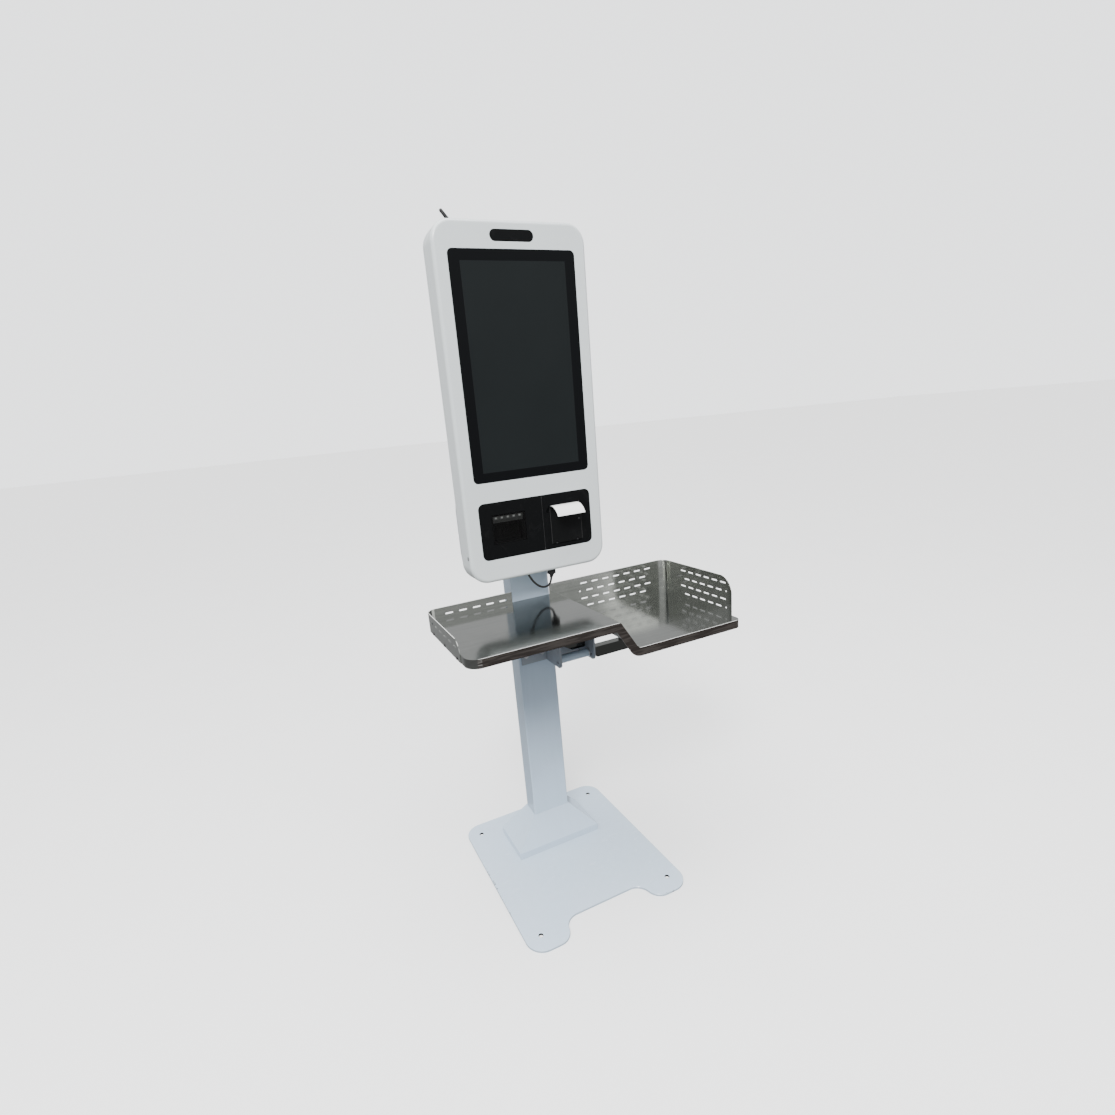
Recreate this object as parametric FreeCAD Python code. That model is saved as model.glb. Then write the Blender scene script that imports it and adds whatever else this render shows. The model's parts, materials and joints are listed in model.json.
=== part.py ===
import FreeCAD, Part
import math
import os
from FreeCAD import Vector

# Self-service ticket kiosk: a portrait touch-screen head on a column, a steel
# foot plate, and a two-level stainless tray behind which the column passes.
# Millimetres, +Z up, the screen faces -Y. The origin lies on the floor at the
# centre of the four anchor holes.

# ---------------------------------------------------------------- foot plate
plate_w = 486.0
plate_d = 544.0
plate_t = 6.0
plate_corner_r = 48.0
notch_d = 65.0
notch_centre_x = 125.0
notch_lean_deg = 78.0
notch_r = 40.0
anchor_dx = 400.0
anchor_dy = 446.0
anchor_hole_r = 6.5

# -------------------------------------------------------------------- column
col_w = 116.0
col_d = 60.0
col_wall = 3.0
col_corner_r = 3.5
col_front_y = 90.6
col_top_z = 1440.0
foot_flange_w = 200.0
foot_flange_d = 110.0
foot_flange_t = 8.0
foot_bolt_r = 5.0
foot_bolt_dx = 160.0
foot_bolt_dy = 76.0
cable_hole_r = 13.0
fit_gap = 0.3

# ----------------------------------------------------------------- foot cone
cone_w = 270.0
cone_d = 144.0
cone_skirt_h = 21.0
cone_top_z = 109.7
cone_t = 1.5

# ---------------------------------------------------------------------- head
head_w = 389.0
head_h = 840.0
head_bottom_z = 898.0
head_front_y = 1.0
head_seam_y = 50.0
head_back_y = 84.6
head_corner_r = 48.0
head_front_r = 9.0
head_back_r = 20.0
shell_t = 2.0
seam_gap = 1.0
insert_gap = 0.4
insert_front_y = head_front_y + 0.3

glass_w = 322.0
glass_h = 524.0
glass_t = 3.0
glass_bottom_z = 1152.2
glass_r = 12.0
screen_w = 267.8
screen_h = 476.1
screen_bottom_z = 1175.7
lcd_rim = 14.0
lcd_t = 11.0
lcd_corner_r = 3.0
lcd_gap = 1.0
frame_rim = 10.0

camera_w = 110.0
camera_h = 25.0
camera_z = 1704.8

panel_w = 317.0
panel_h = 144.7
panel_bottom_z = 957.0
panel_r = 15.0
panel_t = 3.0
panel_lip = 6.0
groove_x = 16.5

scan_x0, scan_x1 = -126.0, -33.0
scan_z0, scan_z1 = 995.0, 1070.0

cover_x0, cover_x1 = 38.0, 130.0
cover_z0, cover_z1 = 968.0, 1066.0
cover_gap = 0.8
cover_hinge_r = 1.0
cover_knuckle_r = 2.1
slot_h = 6.0
paper_w = 80.0
paper_shift_x = -2.0
paper_t = 0.25
paper_curl_r = 40.0
paper_curl_deg = 66.0
roll_r = 27.0
roll_core_r = 6.5
platen_r = 5.0
head_gap = 1.0
spindle_gap = 0.05
button_r = 2.6
button_gap = 0.3
button_x, button_z = 122.0, 1026.5

# ------------------------------------------------------------------ tray pan
tray_left_x = -304.0
tray_right_x = 459.0
tray_front_y = -241.0
tray_back_y = col_front_y
tray_t = 2.0
rim_h = 22.0
floor_high_z = 805.4
floor_low_z = 728.3
slope_top_x = 83.0
slope_foot_x = 131.0
slope_top_r = 9.0
slope_foot_r = 14.0
tray_front_left_r = 32.0
tray_front_right_r = 20.0
tray_back_corner_r = 27.0
wall_t = 1.5
wall_top_z = 835.2
left_wall_front_y = -186.0
left_wall_end_r = 32.0
right_wall_front_y = -203.0
right_wall_end_r = 48.0
slot_len = 22.0
slot_wide = 4.6
slot_row_dz = 23.4
slot_top_drop = 19.6
slot_rows = 4
tray_screw_r = 2.0
tray_screw_head_r = 3.6
tray_screw_head_t = 1.6
tray_screw_grip = 3.0

# -------------------------------------------------------------- tray bracket
arm_left_x = 28.0
arm_right_x = 136.0
arm_t = 5.0
arm_tip_y = -6.0
arm_bottom_z = 612.0
arm_tip_r = 14.0
plate_left_x = -50.0
flange_right_x = 62.0
flange_front_y = -110.0
flange_t = 4.0
tab_w = 26.0
tube_r = 12.0
tube_y, tube_z = 30.0, 626.0
web_y = 45.0
rail_s = 32.0
rail_wall = 3.0
rail_y, rail_z = 18.0, 608.0
rail_end_x = 420.0
strut_xs = (250.0, 388.0)
strut_w = 32.0
stud_r = 3.0
stud_len = 14.0
stud_nut_w, stud_nut_h = 10.0, 5.0
stud_xs, stud_ys = (-30.0, 50.0), (-85.0, 40.0)
tab_stud_ys = (12.0, 68.0)
bracket_bolt_r = 4.0
bracket_bolt_xs, bracket_bolt_zs = (-38.0, 14.0), (640.0, 770.0)
bracket_head_w, bracket_head_h = 13.0, 5.4
washer_r, washer_t = 7.0, 1.6

# --------------------------------------------------------------------- hinge
hinge_x = head_w / 2 + 6.0
hinge_y = head_seam_y + seam_gap / 2
hinge_pin_r = 2.5
hinge_knuckle_r = 4.5
hinge_len = 60.0
hinge_zs = (1120.0, 1560.0)

# ------------------------------------------------------------ antenna, latch
antenna_x, antenna_z = -60.0, 1700.0
antenna_y = 106.0
antenna_lean_deg = 38.7
antenna_len = 112.0
antenna_r = 5.0
latch_y, latch_z = 16.0, 968.0
latch_pin_r = 3.0

# --------------------------------------------------------------- small leads
cord_d = 6.0
cord_y = 66.0
cord_route = [(56.6, 861.0), (53.9, 846.6), (42.6, 837.3), (27.6, 837.2),
              (11.5, 846.6), (-4.6, 865.6), (-16.0, 889.7)]
socket_x = 58.5
gland_x = -17.5
gland_bore_r = 4.5

os.makedirs("parts", exist_ok=True)
X, Y, Z = Vector(1, 0, 0), Vector(0, 1, 0), Vector(0, 0, 1)

col_mid_y = col_front_y + col_d / 2
col_back_y = col_front_y + col_d
head_top_z = head_bottom_z + head_h
wall_in = shell_t + head_front_y


# -------------------------------------------------------------- basic shapes
def box(x0, x1, y0, y1, z0, z1):
    return Part.makeBox(x1 - x0, y1 - y0, z1 - z0, Vector(x0, y0, z0))


def rod(r, start, direction, length):
    return Part.makeCylinder(r, length, Vector(*start), direction)


def ring(r_out, r_in, start, direction, length):
    return rod(r_out, start, direction, length).cut(rod(r_in, start, direction, length))


def fuse(shapes):
    whole = shapes[0]
    for shape in shapes[1:]:
        whole = whole.fuse(shape)
    return whole.removeSplitter()


def cut(whole, tools):
    for tool in tools:
        whole = whole.cut(tool)
    return whole


def group(shapes):
    return Part.Compound(shapes)


def save(name, shape):
    shape.exportStep("parts/" + name + ".step")
    print(name, len(shape.Solids), round(shape.Volume / 1000.0, 2), shape.isValid())


def rounded_edges(corners):
    """Edges of a closed outline; each corner is (point, radius)."""
    count = len(corners)
    arcs = []
    for i in range(count):
        here, radius = corners[i]
        before = corners[i - 1][0]
        after = corners[(i + 1) % count][0]
        if radius <= 0:
            arcs.append((here, None, here))
            continue
        back = (before - here).normalize()
        ahead = (after - here).normalize()
        half = back.getAngle(ahead) / 2
        reach = radius / math.tan(half)
        middle = (back + ahead).normalize() * (radius / math.sin(half) - radius)
        arcs.append((here + back * reach, here + middle, here + ahead * reach))
    edges = []
    for i in range(count):
        start, middle, end = arcs[i]
        if middle is not None:
            edges.append(Part.Arc(start, middle, end).toShape())
        following = arcs[(i + 1) % count][0]
        if end.distanceToPoint(following) > 1e-6:
            edges.append(Part.LineSegment(end, following).toShape())
    return edges


def prism(corners, along):
    face = Part.Face(Part.Wire(rounded_edges(corners)))
    return face.extrude(along)


def plan_prism(corners, z0, z1):
    points = [(Vector(x, y, z0), r) for x, y, r in corners]
    return prism(points, Vector(0, 0, z1 - z0))


def rect_plan(x0, x1, y0, y1, r, z0, z1):
    return plan_prism([(x0, y0, r), (x1, y0, r), (x1, y1, r), (x0, y1, r)], z0, z1)


def panel(x0, x1, z0, z1, r, y0, y1):
    """A rounded rectangle standing in XZ, from y0 back to y1."""
    points = [(Vector(x, y0, z), r) for x, z in ((x0, z0), (x1, z0), (x1, z1), (x0, z1))]
    return prism(points, Vector(0, y1 - y0, 0))


def hexagon(across, start, direction, height):
    """A hexagonal prism; direction is one of the three axes."""
    side_a, side_b = (Y, Z) if abs(direction.x) > 0.5 else ((X, Z) if abs(direction.y) > 0.5 else (X, Y))
    radius = across / math.sqrt(3)
    points = []
    for k in range(6):
        a = math.radians(60 * k + 30)
        corner = side_a * (radius * math.cos(a)) + side_b * (radius * math.sin(a))
        points.append((Vector(*start) + corner, 0))
    return prism(points, direction * height)


def outline_edges(shape, y):
    """Edges of a panel that lie in the plane at y."""
    return [e for e in shape.Edges if max(abs(e.BoundBox.YMin - y), abs(e.BoundBox.YMax - y)) < 1e-4]


# ------------------------------------------------------ foot plate and column
def foot_plate():
    w, d, r = plate_w / 2, plate_d / 2, plate_corner_r
    lean = notch_d / math.tan(math.radians(notch_lean_deg)) / 2
    outer, inner = notch_centre_x + lean, notch_centre_x - lean
    corners = [(-w, -d, r), (-outer, -d, notch_r), (-inner, notch_d - d, notch_r),
               (inner, notch_d - d, notch_r), (outer, -d, notch_r), (w, -d, r), (w, d, r), (-w, d, r)]
    plate = plan_prism(corners, 0, plate_t)
    top = [e for e in plate.Edges if e.BoundBox.ZMin > plate_t - 1e-4]
    plate = plate.makeChamfer(0.8, top)
    holes = [rod(anchor_hole_r, (sx * anchor_dx / 2, sy * anchor_dy / 2, -1), Z, plate_t + 2)
             for sx in (-1, 1) for sy in (-1, 1)]
    holes += [rod(foot_bolt_r, (sx, col_mid_y + sy, -1), Z, plate_t + 2) for sx, sy in foot_bolt_places()]
    return cut(plate, holes)


def foot_bolt_places():
    return [(sx * foot_bolt_dx / 2, sy * foot_bolt_dy / 2) for sx in (-1, 1) for sy in (-1, 1)]


def foot_bolts():
    bolts = []
    for x, y in foot_bolt_places():
        top = plate_t + foot_flange_t
        shank = rod(foot_bolt_r, (x, col_mid_y + y, 0.5), Z, top - 0.5)
        washer = rod(foot_bolt_r * 2, (x, col_mid_y + y, top), Z, 1.8)
        head = hexagon(16.0, (x, col_mid_y + y, top + 1.8), Z, 6.4)
        bolts.append(fuse([shank, washer, head]))
    return group(bolts)


def column():
    w = col_w / 2
    z0 = plate_t
    outer = rect_plan(-w, w, col_front_y, col_back_y, col_corner_r, z0, col_top_z)
    flange = rect_plan(-foot_flange_w / 2, foot_flange_w / 2, col_mid_y - foot_flange_d / 2,
                       col_mid_y + foot_flange_d / 2, 8, z0, z0 + foot_flange_t)
    t = col_wall
    inner = rect_plan(-w + t, w - t, col_front_y + t, col_back_y - t, 1.0, z0 - 1, col_top_z + 1)
    deep = foot_flange_t + 2
    holes = [rod(foot_bolt_r, (x, col_mid_y + y, z0 - 1), Z, deep) for x, y in foot_bolt_places()]
    holes += [rod(3.0, (x, col_front_y - 1, z), Y, col_wall + 2) for x, z in mount_bolt_places()]
    holes += [rod(bracket_bolt_r, (x, col_front_y - 1, z), Y, col_wall + 2) for x, z in bracket_bolt_places()]
    holes.append(rod(cable_hole_r, (0, col_front_y - 1, mount_z), Y, col_wall + 2))
    holes.append(box(-inlet_w / 2, inlet_w / 2, col_back_y - col_wall - 1, col_back_y + 1,
                     inlet_z - inlet_h / 2, inlet_z + inlet_h / 2))
    return cut(fuse([outer, flange]), [inner] + holes)


def column_cap():
    w = col_w / 2
    lid = rect_plan(-w, w, col_front_y, col_back_y, col_corner_r, col_top_z, col_top_z + 3)
    g = col_wall + 0.2
    plug = rect_plan(-w + g, w - g, col_front_y + g, col_back_y - g, 1.0, col_top_z - 12, col_top_z)
    hollow = rect_plan(-w + g + 2, w - g - 2, col_front_y + g + 2, col_back_y - g - 2, 0.8,
                       col_top_z - 13, col_top_z - 0.5)
    return fuse([lid, plug]).cut(hollow)


def foot_cone():
    def rectangle(w, d, z):
        points = [Vector(-w, col_mid_y - d, z), Vector(w, col_mid_y - d, z),
                  Vector(w, col_mid_y + d, z), Vector(-w, col_mid_y + d, z)]
        return Part.makePolygon(points + points[:1])
    neck_w, neck_d = col_w / 2 + fit_gap, col_d / 2 + fit_gap
    skirt_z = plate_t + cone_skirt_h
    w, d, t = cone_w / 2, cone_d / 2, cone_t
    outer = Part.makeLoft([rectangle(w, d, skirt_z),
                           rectangle(neck_w + t, neck_d + t, cone_top_z)], True, True)
    skirt = box(-w, w, col_mid_y - d, col_mid_y + d, plate_t, skirt_z)
    lift = 1.6 * t
    inner = Part.makeLoft([rectangle(w - t, d - t, skirt_z - lift),
                           rectangle(neck_w, neck_d, cone_top_z - lift)], True, True)
    inner_skirt = box(-w + t, w - t, col_mid_y - d + t, col_mid_y + d - t, plate_t - 1, skirt_z - lift)
    neck = box(-neck_w, neck_w, col_mid_y - neck_d, col_mid_y + neck_d, skirt_z, cone_top_z + 1)
    return cut(fuse([outer, skirt]), [inner, inner_skirt, neck])


# ------------------------------------------------------------- power inlet
inlet_w, inlet_h, inlet_z = 28.0, 48.0, 196.0
rocker_r = 9.3
rocker_w = 13.0
rocker_y = col_back_y - 3.0
rocker_z = inlet_z + 12.0


def power_inlet():
    y = col_back_y
    flange = panel(-20, 20, inlet_z - 31, inlet_z + 31, 4, y, y + 2.5)
    body = box(-inlet_w / 2 + 0.2, inlet_w / 2 - 0.2, y - 26, y, inlet_z - inlet_h / 2 + 0.2,
               inlet_z + inlet_h / 2 - 0.2)
    recess = panel(-12, 12, inlet_z - 19, inlet_z - 2, 2.5, y - 16, y + 4)
    pins = [box(x - 1, x + 1, y - 17, y - 3, inlet_z - 13, inlet_z - 8) for x in (-7, 0, 7)]
    well = box(-rocker_w / 2 - 0.4, rocker_w / 2 + 0.4, y - 14, y + 4, rocker_z - 9.8, rocker_z + 9.8)
    screws = [rod(1.8, (0, y, inlet_z + dz), Y, 3.2) for dz in (-27, 27)]
    whole = cut(fuse([flange, body]), [recess, well])
    return fuse([whole] + pins + screws)


def power_switch():
    disc = rod(rocker_r, (-rocker_w / 2, rocker_y, rocker_z), X, rocker_w)
    keep = box(-rocker_w, rocker_w, rocker_y - 2, rocker_y + 7.0, rocker_z - 12, rocker_z + 12)
    upper = prism([(Vector(-rocker_w, rocker_y + 4.2, rocker_z), 0),
                   (Vector(-rocker_w, rocker_y + 12, rocker_z), 0),
                   (Vector(-rocker_w, rocker_y + 12, rocker_z + 12), 0),
                   (Vector(-rocker_w, rocker_y + 3.0, rocker_z + 12), 0)], X * 2 * rocker_w)
    lower = prism([(Vector(-rocker_w, rocker_y + 4.2, rocker_z), 0),
                   (Vector(-rocker_w, rocker_y + 12, rocker_z), 0),
                   (Vector(-rocker_w, rocker_y + 12, rocker_z - 12), 0),
                   (Vector(-rocker_w, rocker_y + 7.0, rocker_z - 12), 0)], X * 2 * rocker_w)
    return cut(disc.common(keep), [upper, lower])


# --------------------------------------------------------------- tray bracket
def bracket_bolt_places():
    return [(x, z) for x in bracket_bolt_xs for z in bracket_bolt_zs]


def arm(x0, top):
    corners = [(Vector(x0, col_front_y, arm_bottom_z), 0), (Vector(x0, arm_tip_y, arm_bottom_z), arm_tip_r),
               (Vector(x0, arm_tip_y, top), 3.0), (Vector(x0, col_front_y, top), 0)]
    return prism(corners, X * arm_t)


def tray_bracket():
    high, low = floor_high_z - tray_t, floor_low_z - tray_t
    y_plate = col_front_y - arm_t
    right = arm_right_x + arm_t
    pieces = [box(plate_left_x, right, y_plate, col_front_y, arm_bottom_z, low - 12),
              box(plate_left_x, flange_right_x, y_plate, col_front_y, low - 20, high),
              box(plate_left_x, flange_right_x, flange_front_y, col_front_y, high - flange_t, high),
              box(right - 1, right + tab_w, arm_tip_y, col_front_y, low - flange_t, low),
              arm(arm_left_x, high), arm(arm_right_x, low),
              box(plate_left_x, plate_left_x + arm_t, flange_front_y + 20, col_front_y, high - 60, high)]
    whole = fuse(pieces)
    tools = [box(x - 1, x + arm_t + 1, arm_tip_y + 12, arm_tip_y + 26, arm_bottom_z + 12, arm_bottom_z + 17)
             for x in (arm_left_x, arm_right_x)]
    tools += [rod(bracket_bolt_r, (x, y_plate - 1, z), Y, arm_t + 2) for x, z in bracket_bolt_places()]
    tools += [rod(stud_r, (x, y, top - flange_t - 2), Z, flange_t + 4) for x, y, top in stud_places()]
    return cut(whole, tools + [tray_pan()])


def bracket_bolts():
    bolts = []
    y = col_front_y - arm_t
    for x, z in bracket_bolt_places():
        washer = rod(washer_r, (x, y - washer_t, z), Y, washer_t)
        head = hexagon(bracket_head_w, (x, y - washer_t - bracket_head_h, z), Y, bracket_head_h)
        bolts.append(fuse([rod(bracket_bolt_r, (x, y, z), Y, arm_t + col_wall + 6), washer, head]))
    return group(bolts)


def bracket_tube():
    start = arm_left_x + arm_t
    return ring(tube_r, tube_r - 2, (start, tube_y, tube_z), X, arm_right_x - start)


def bracket_web():
    """The stiffening plate between the arms, slanted at its lower left."""
    start, top = arm_left_x + arm_t, floor_low_z - tray_t - 4
    low = tube_z + tube_r + 1
    corners = [(start, top), (start, top - 46), (93.0, low), (arm_right_x, low), (arm_right_x, top)]
    return prism([(Vector(x, web_y, z), 0) for x, z in corners], Y * 3.0)


def stud_places():
    high, low = floor_high_z - tray_t, floor_low_z - tray_t
    places = [(x, y, high) for x in stud_xs for y in stud_ys]
    tab_x = arm_right_x + arm_t + tab_w / 2
    return places + [(tab_x, y, low) for y in tab_stud_ys]


def tray_studs():
    studs = []
    for x, y, top in stud_places():
        nut = hexagon(stud_nut_w, (x, y, top - flange_t - stud_nut_h), Z, stud_nut_h)
        studs.append(fuse([rod(stud_r, (x, y, top - stud_len), Z, stud_len), nut]))
    return group(studs)


def support_rail():
    x0, x1 = arm_right_x + arm_t, rail_end_x
    z0, z1 = rail_z, rail_z + rail_s
    y0, y1 = rail_y, rail_y + 25.0
    outer = prism([(Vector(x0, y0, z1), 0), (Vector(x0, y0, z0 + 13), 0), (Vector(x0 + 20, y0, z0), 0),
                   (Vector(x1, y0, z0), 0), (Vector(x1, y0, z1), 0)], Y * (y1 - y0))
    t = rail_wall
    hollow = box(x0 - 1, x1 + 1, y0 + t, y1 + 1, z0 - 1, z1 - t)
    struts = []
    for x in strut_xs:
        post = box(x, x + strut_w, y0, y1, z1 - t, floor_low_z - tray_t)
        struts.append(post.cut(box(x + t, x + strut_w - t, y0 + t, y1 + 1, z1, floor_low_z - tray_t - t)))
    return fuse([outer.cut(hollow)] + struts)


# --------------------------------------------------------------------- tray
def tray_section(drop0, drop1, x0, x1, y):
    """The band between the floor line lowered by drop0 and by drop1, standing in XZ at y."""
    lean = math.atan2(floor_high_z - floor_low_z, slope_foot_x - slope_top_x)
    slip = math.tan(lean / 2)

    def line(drop, reverse):
        top_r, foot_r = slope_top_r - drop, slope_foot_r + drop
        points = [(x0, floor_high_z - drop, 0), (slope_top_x - drop * slip, floor_high_z - drop, top_r),
                  (slope_foot_x - drop * slip, floor_low_z - drop, foot_r), (x1, floor_low_z - drop, 0)]
        return points[::-1] if reverse else points
    corners = line(drop0, False) + line(drop1, True)
    return [(Vector(x, y, z), max(r, 0)) for x, z, r in corners]


def tray_plan(inset, z0, z1):
    x0, x1 = tray_left_x + inset, tray_right_x - inset
    y0, y1 = tray_front_y + inset, tray_back_y - inset
    back_r = tray_back_corner_r - inset
    return plan_prism([(x0, y0, tray_front_left_r - inset), (x1, y0, tray_front_right_r - inset),
                       (x1, y1, back_r), (x0, y1, back_r)], z0, z1)


def tray_pan():
    low, high = floor_low_z - rim_h - 10, floor_high_z + 10
    depth = tray_back_y - tray_front_y + 40
    x0, x1 = tray_left_x - 20, tray_right_x + 20
    band = prism(tray_section(0, rim_h, x0, x1, tray_front_y - 20), Y * depth)
    body = band.common(tray_plan(0, low, high))
    under = prism(tray_section(tray_t, rim_h + 1, x0, x1, tray_front_y - 20), Y * depth)
    hollow = under.common(tray_plan(tray_t, low, high))
    pan = body.cut(hollow)
    return cut(pan, [tool for tool in tray_screw_tools(tray_t + 1)])


def slot_tool(along_x, s, z, length, level):
    """A round-ended slot through a wall; level is the wall's fixed coordinate."""
    half, r = length / 2, slot_wide / 2
    if along_x:
        return panel(s - half, s + half, z - r, z + r, r - 0.01, level - 3, level + 3)
    points = [(Vector(level - 3, y, zz), r - 0.01) for y, zz in
              ((s - half, z - r), (s + half, z - r), (s + half, z + r), (s - half, z + r))]
    return prism(points, X * 6)


def slot_field(along_x, level, s0, s1, count, rows, dots):
    """Rows of slots between s0 and s1, every second row moved by half a pitch, ended by a short dot."""
    tools = []
    pitch = (s1 - s0) / count
    for row in range(rows):
        z = wall_top_z - slot_top_drop - row * slot_row_dz
        shift = pitch / 2 if row % 2 else 0.0
        places = [s0 + pitch * (k + 0.5) + shift for k in range(count if not row % 2 else count - 1)]
        tools += [slot_tool(along_x, s, z, slot_len, level) for s in places]
        if dots and row % 2:
            tools.append(slot_tool(along_x, s0 + slot_wide, z, slot_wide * 1.3, level))
    return tools


def wall_blank(left, z0):
    """An L-shaped wall in plan, from the column round the back corner to the front end."""
    z1 = wall_top_z
    x_out, x_in = (tray_left_x - wall_t, tray_left_x) if left else (tray_right_x + wall_t, tray_right_x)
    y_out, y_in = tray_back_y + wall_t, tray_back_y
    inner_x = (-1 if left else 1) * (col_w / 2 + fit_gap)
    front = left_wall_front_y if left else right_wall_front_y
    r_in = tray_back_corner_r
    far = inner_x
    outer = plan_prism([(far, y_out, 0), (x_out, y_out, r_in + wall_t), (x_out, front, 0),
                        (x_in, front, 0), (x_in, y_in, r_in), (far, y_in, 0)], z0, z1)
    return outer


def wall_end_tool(x, front, r):
    """Rounds the upper front corner of a side wall."""
    corner = box(x - 5, x + 5, front - 1, front + r, wall_top_z - r, wall_top_z + 1)
    return corner.cut(rod(r, (x - 6, front + r, wall_top_z - r), X, 12))


def screw_places_left():
    return [(34.0, floor_high_z - 18), (-62.0, floor_high_z - 18), (-160.0, floor_high_z - 18)]


def screw_places_right():
    return [(34.0, floor_low_z - 15), (-74.0, floor_low_z - 15), (-182.0, floor_low_z - 15)]


def screw_places_back():
    return [(-240.0, floor_high_z - 15), (-110.0, floor_high_z - 15), (180.0, floor_low_z - 15),
            (290.0, floor_low_z - 15), (400.0, floor_low_z - 15)]


def tray_screw_tools(reach):
    r, depth = tray_screw_r, wall_t + reach
    tools = [rod(r, (tray_left_x - wall_t, y, z), X, depth) for y, z in screw_places_left()]
    tools += [rod(r, (tray_right_x + wall_t, y, z), X * -1, depth) for y, z in screw_places_right()]
    tools += [rod(r, (x, tray_back_y + wall_t, z), Y * -1, depth) for x, z in screw_places_back()]
    return tools


def tray_wall_left():
    wall = wall_blank(True, floor_high_z - rim_h)
    tools = [wall_end_tool(tray_left_x, left_wall_front_y, left_wall_end_r)]
    s0, s1 = left_wall_front_y + 12, tray_back_y - tray_back_corner_r - 6
    tools += slot_field(False, tray_left_x, s0, s1, 6, 1, False)
    tools += slot_field(True, tray_back_y, tray_left_x + 42, -col_w / 2 - 8, 5, 1, False)
    return cut(wall, tools + tray_screw_tools(tray_t + 1))


def tray_wall_right():
    wall = wall_blank(False, floor_low_z - rim_h)
    below = floor_high_z - rim_h
    step = prism([(Vector(0, tray_back_y - 3, floor_low_z - rim_h - 5), 0),
                  (Vector(slope_foot_x - 10, tray_back_y - 3, floor_low_z - rim_h - 5), 0),
                  (Vector(slope_top_x - 12, tray_back_y - 3, below), 0),
                  (Vector(0, tray_back_y - 3, below), 0)], Y * 8)
    tools = [step, wall_end_tool(tray_right_x, right_wall_front_y, right_wall_end_r)]
    tools += slot_field(False, tray_right_x, right_wall_front_y + 16, 13.0, 6, slot_rows, True)
    back_end = tray_right_x - tray_back_corner_r - 16
    tools += slot_field(True, tray_back_y, slope_foot_x + 22, back_end, 7, slot_rows, True)
    return cut(wall, tools + tray_screw_tools(tray_t + 1))


def tray_screw(seat, inward):
    """A pan-head screw whose head sits on the wall's outer face at seat."""
    shank = rod(tray_screw_r, seat, inward, wall_t + tray_t + tray_screw_grip)
    return shank.fuse(rod(tray_screw_head_r, seat, inward * -1, tray_screw_head_t)).removeSplitter()


def tray_screws():
    left, right = tray_left_x - wall_t, tray_right_x + wall_t
    screws = [tray_screw((left, y, z), X) for y, z in screw_places_left()]
    screws += [tray_screw((right, y, z), X * -1) for y, z in screw_places_right()]
    screws += [tray_screw((x, tray_back_y + wall_t, z), Y * -1) for x, z in screw_places_back()]
    return group(screws)


# --------------------------------------------------------------- head shells
def head_block(inset, y0, y1):
    w = head_w / 2 - inset
    return panel(-w, w, head_bottom_z + inset, head_top_z - inset, head_corner_r - inset, y0, y1)


def front_shell():
    outer = head_block(0, head_front_y, head_seam_y)
    outer = outer.makeFillet(head_front_r, outline_edges(outer, head_front_y))
    inner = head_block(shell_t, wall_in, head_seam_y + 1)
    inner = inner.makeFillet(head_front_r - shell_t, outline_edges(inner, wall_in))
    g = insert_gap
    y0, y1 = head_front_y - 2, wall_in + 2
    glass = panel(-glass_w / 2 - g, glass_w / 2 + g, glass_bottom_z - g, glass_bottom_z + glass_h + g,
                  glass_r + g, y0, y1)
    camera = panel(-camera_w / 2 - g, camera_w / 2 + g,
                   camera_z - camera_h / 2 - g, camera_z + camera_h / 2 + g,
                   camera_h / 2 + g - 0.01, y0, y1)
    lower = panel(-panel_w / 2 - g, panel_w / 2 + g, panel_bottom_z - g, panel_bottom_z + panel_h + g,
                  panel_r + g, y0, y1)
    latch = rod(latch_bush_r, (-head_w / 2 - 1, latch_y, latch_z), X, shell_t + 2)
    return cut(outer, [inner, glass, camera, lower, latch])


mount_z = 1340.0


def mount_bolt_places():
    return [(sx * 38.0, mount_z + sz * 50.0) for sx in (-1, 1) for sz in (-1, 1)]


fan_x, fan_z, fan_s = 100.0, 1600.0, 60.0
fan_hub_r, fan_shaft_r = 11.0, 1.5
fan_hole_pitch, fan_hole_r = 50.0, 2.2
fan_y0, fan_y1 = head_back_y - shell_t - 15.0, head_back_y - shell_t


def rear_block(inset, y0):
    shape = head_block(inset, y0, head_back_y - inset)
    return shape.makeFillet(head_back_r - inset, outline_edges(shape, head_back_y - inset))


def rear_shell():
    start = head_seam_y + seam_gap
    shell = rear_block(0, start).cut(rear_block(shell_t, start - 1))
    y = head_back_y - shell_t - 1
    holes = [rod(3.0, (x, y, z), Y, shell_t + 2) for x, z in mount_bolt_places()]
    holes.append(rod(cable_hole_r, (0, y, mount_z), Y, shell_t + 2))
    holes.append(rod(3.2, (antenna_x, y, antenna_z), Y, shell_t + 2))
    for k in range(9):
        z = fan_z + (k - 4) * 6.0
        half = math.sqrt(27.0 ** 2 - (z - fan_z) ** 2)
        holes.append(panel(fan_x - half, fan_x + half, z - 1.5, z + 1.5, 1.45, y, y + shell_t + 2))
    for k in range(8):
        x = -120.0 + k * 11.0
        holes.append(panel(x - 2, x + 2, 1160, 1220, 1.95, y, y + shell_t + 2))
    holes.append(rod(gland_bore_r, (gland_x, cord_y, head_bottom_z - 1), Z, shell_t + 2))
    holes.append(box(socket_x - 10, socket_x + 10, cord_y - 5, cord_y + 5, head_bottom_z - 1,
                     head_bottom_z + shell_t + 1))
    for side in (-1, 1):
        x0, x1 = sorted((side * (pod_x0 + 16.0), side * (pod_x1 - 23.0)))
        holes.append(panel(x0, x1, 985, 1062, 8, y, y + shell_t + 2))
    return cut(shell, holes)


pod_col_gap = 6.0
pod_side_inset = 6.5
pod_x0, pod_x1 = col_w / 2 + pod_col_gap, head_w / 2 - pod_side_inset
pod_z0, pod_z1 = 938.0, 1107.0
pod_back_y = 112.0
pod_slope = 28.0


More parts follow.
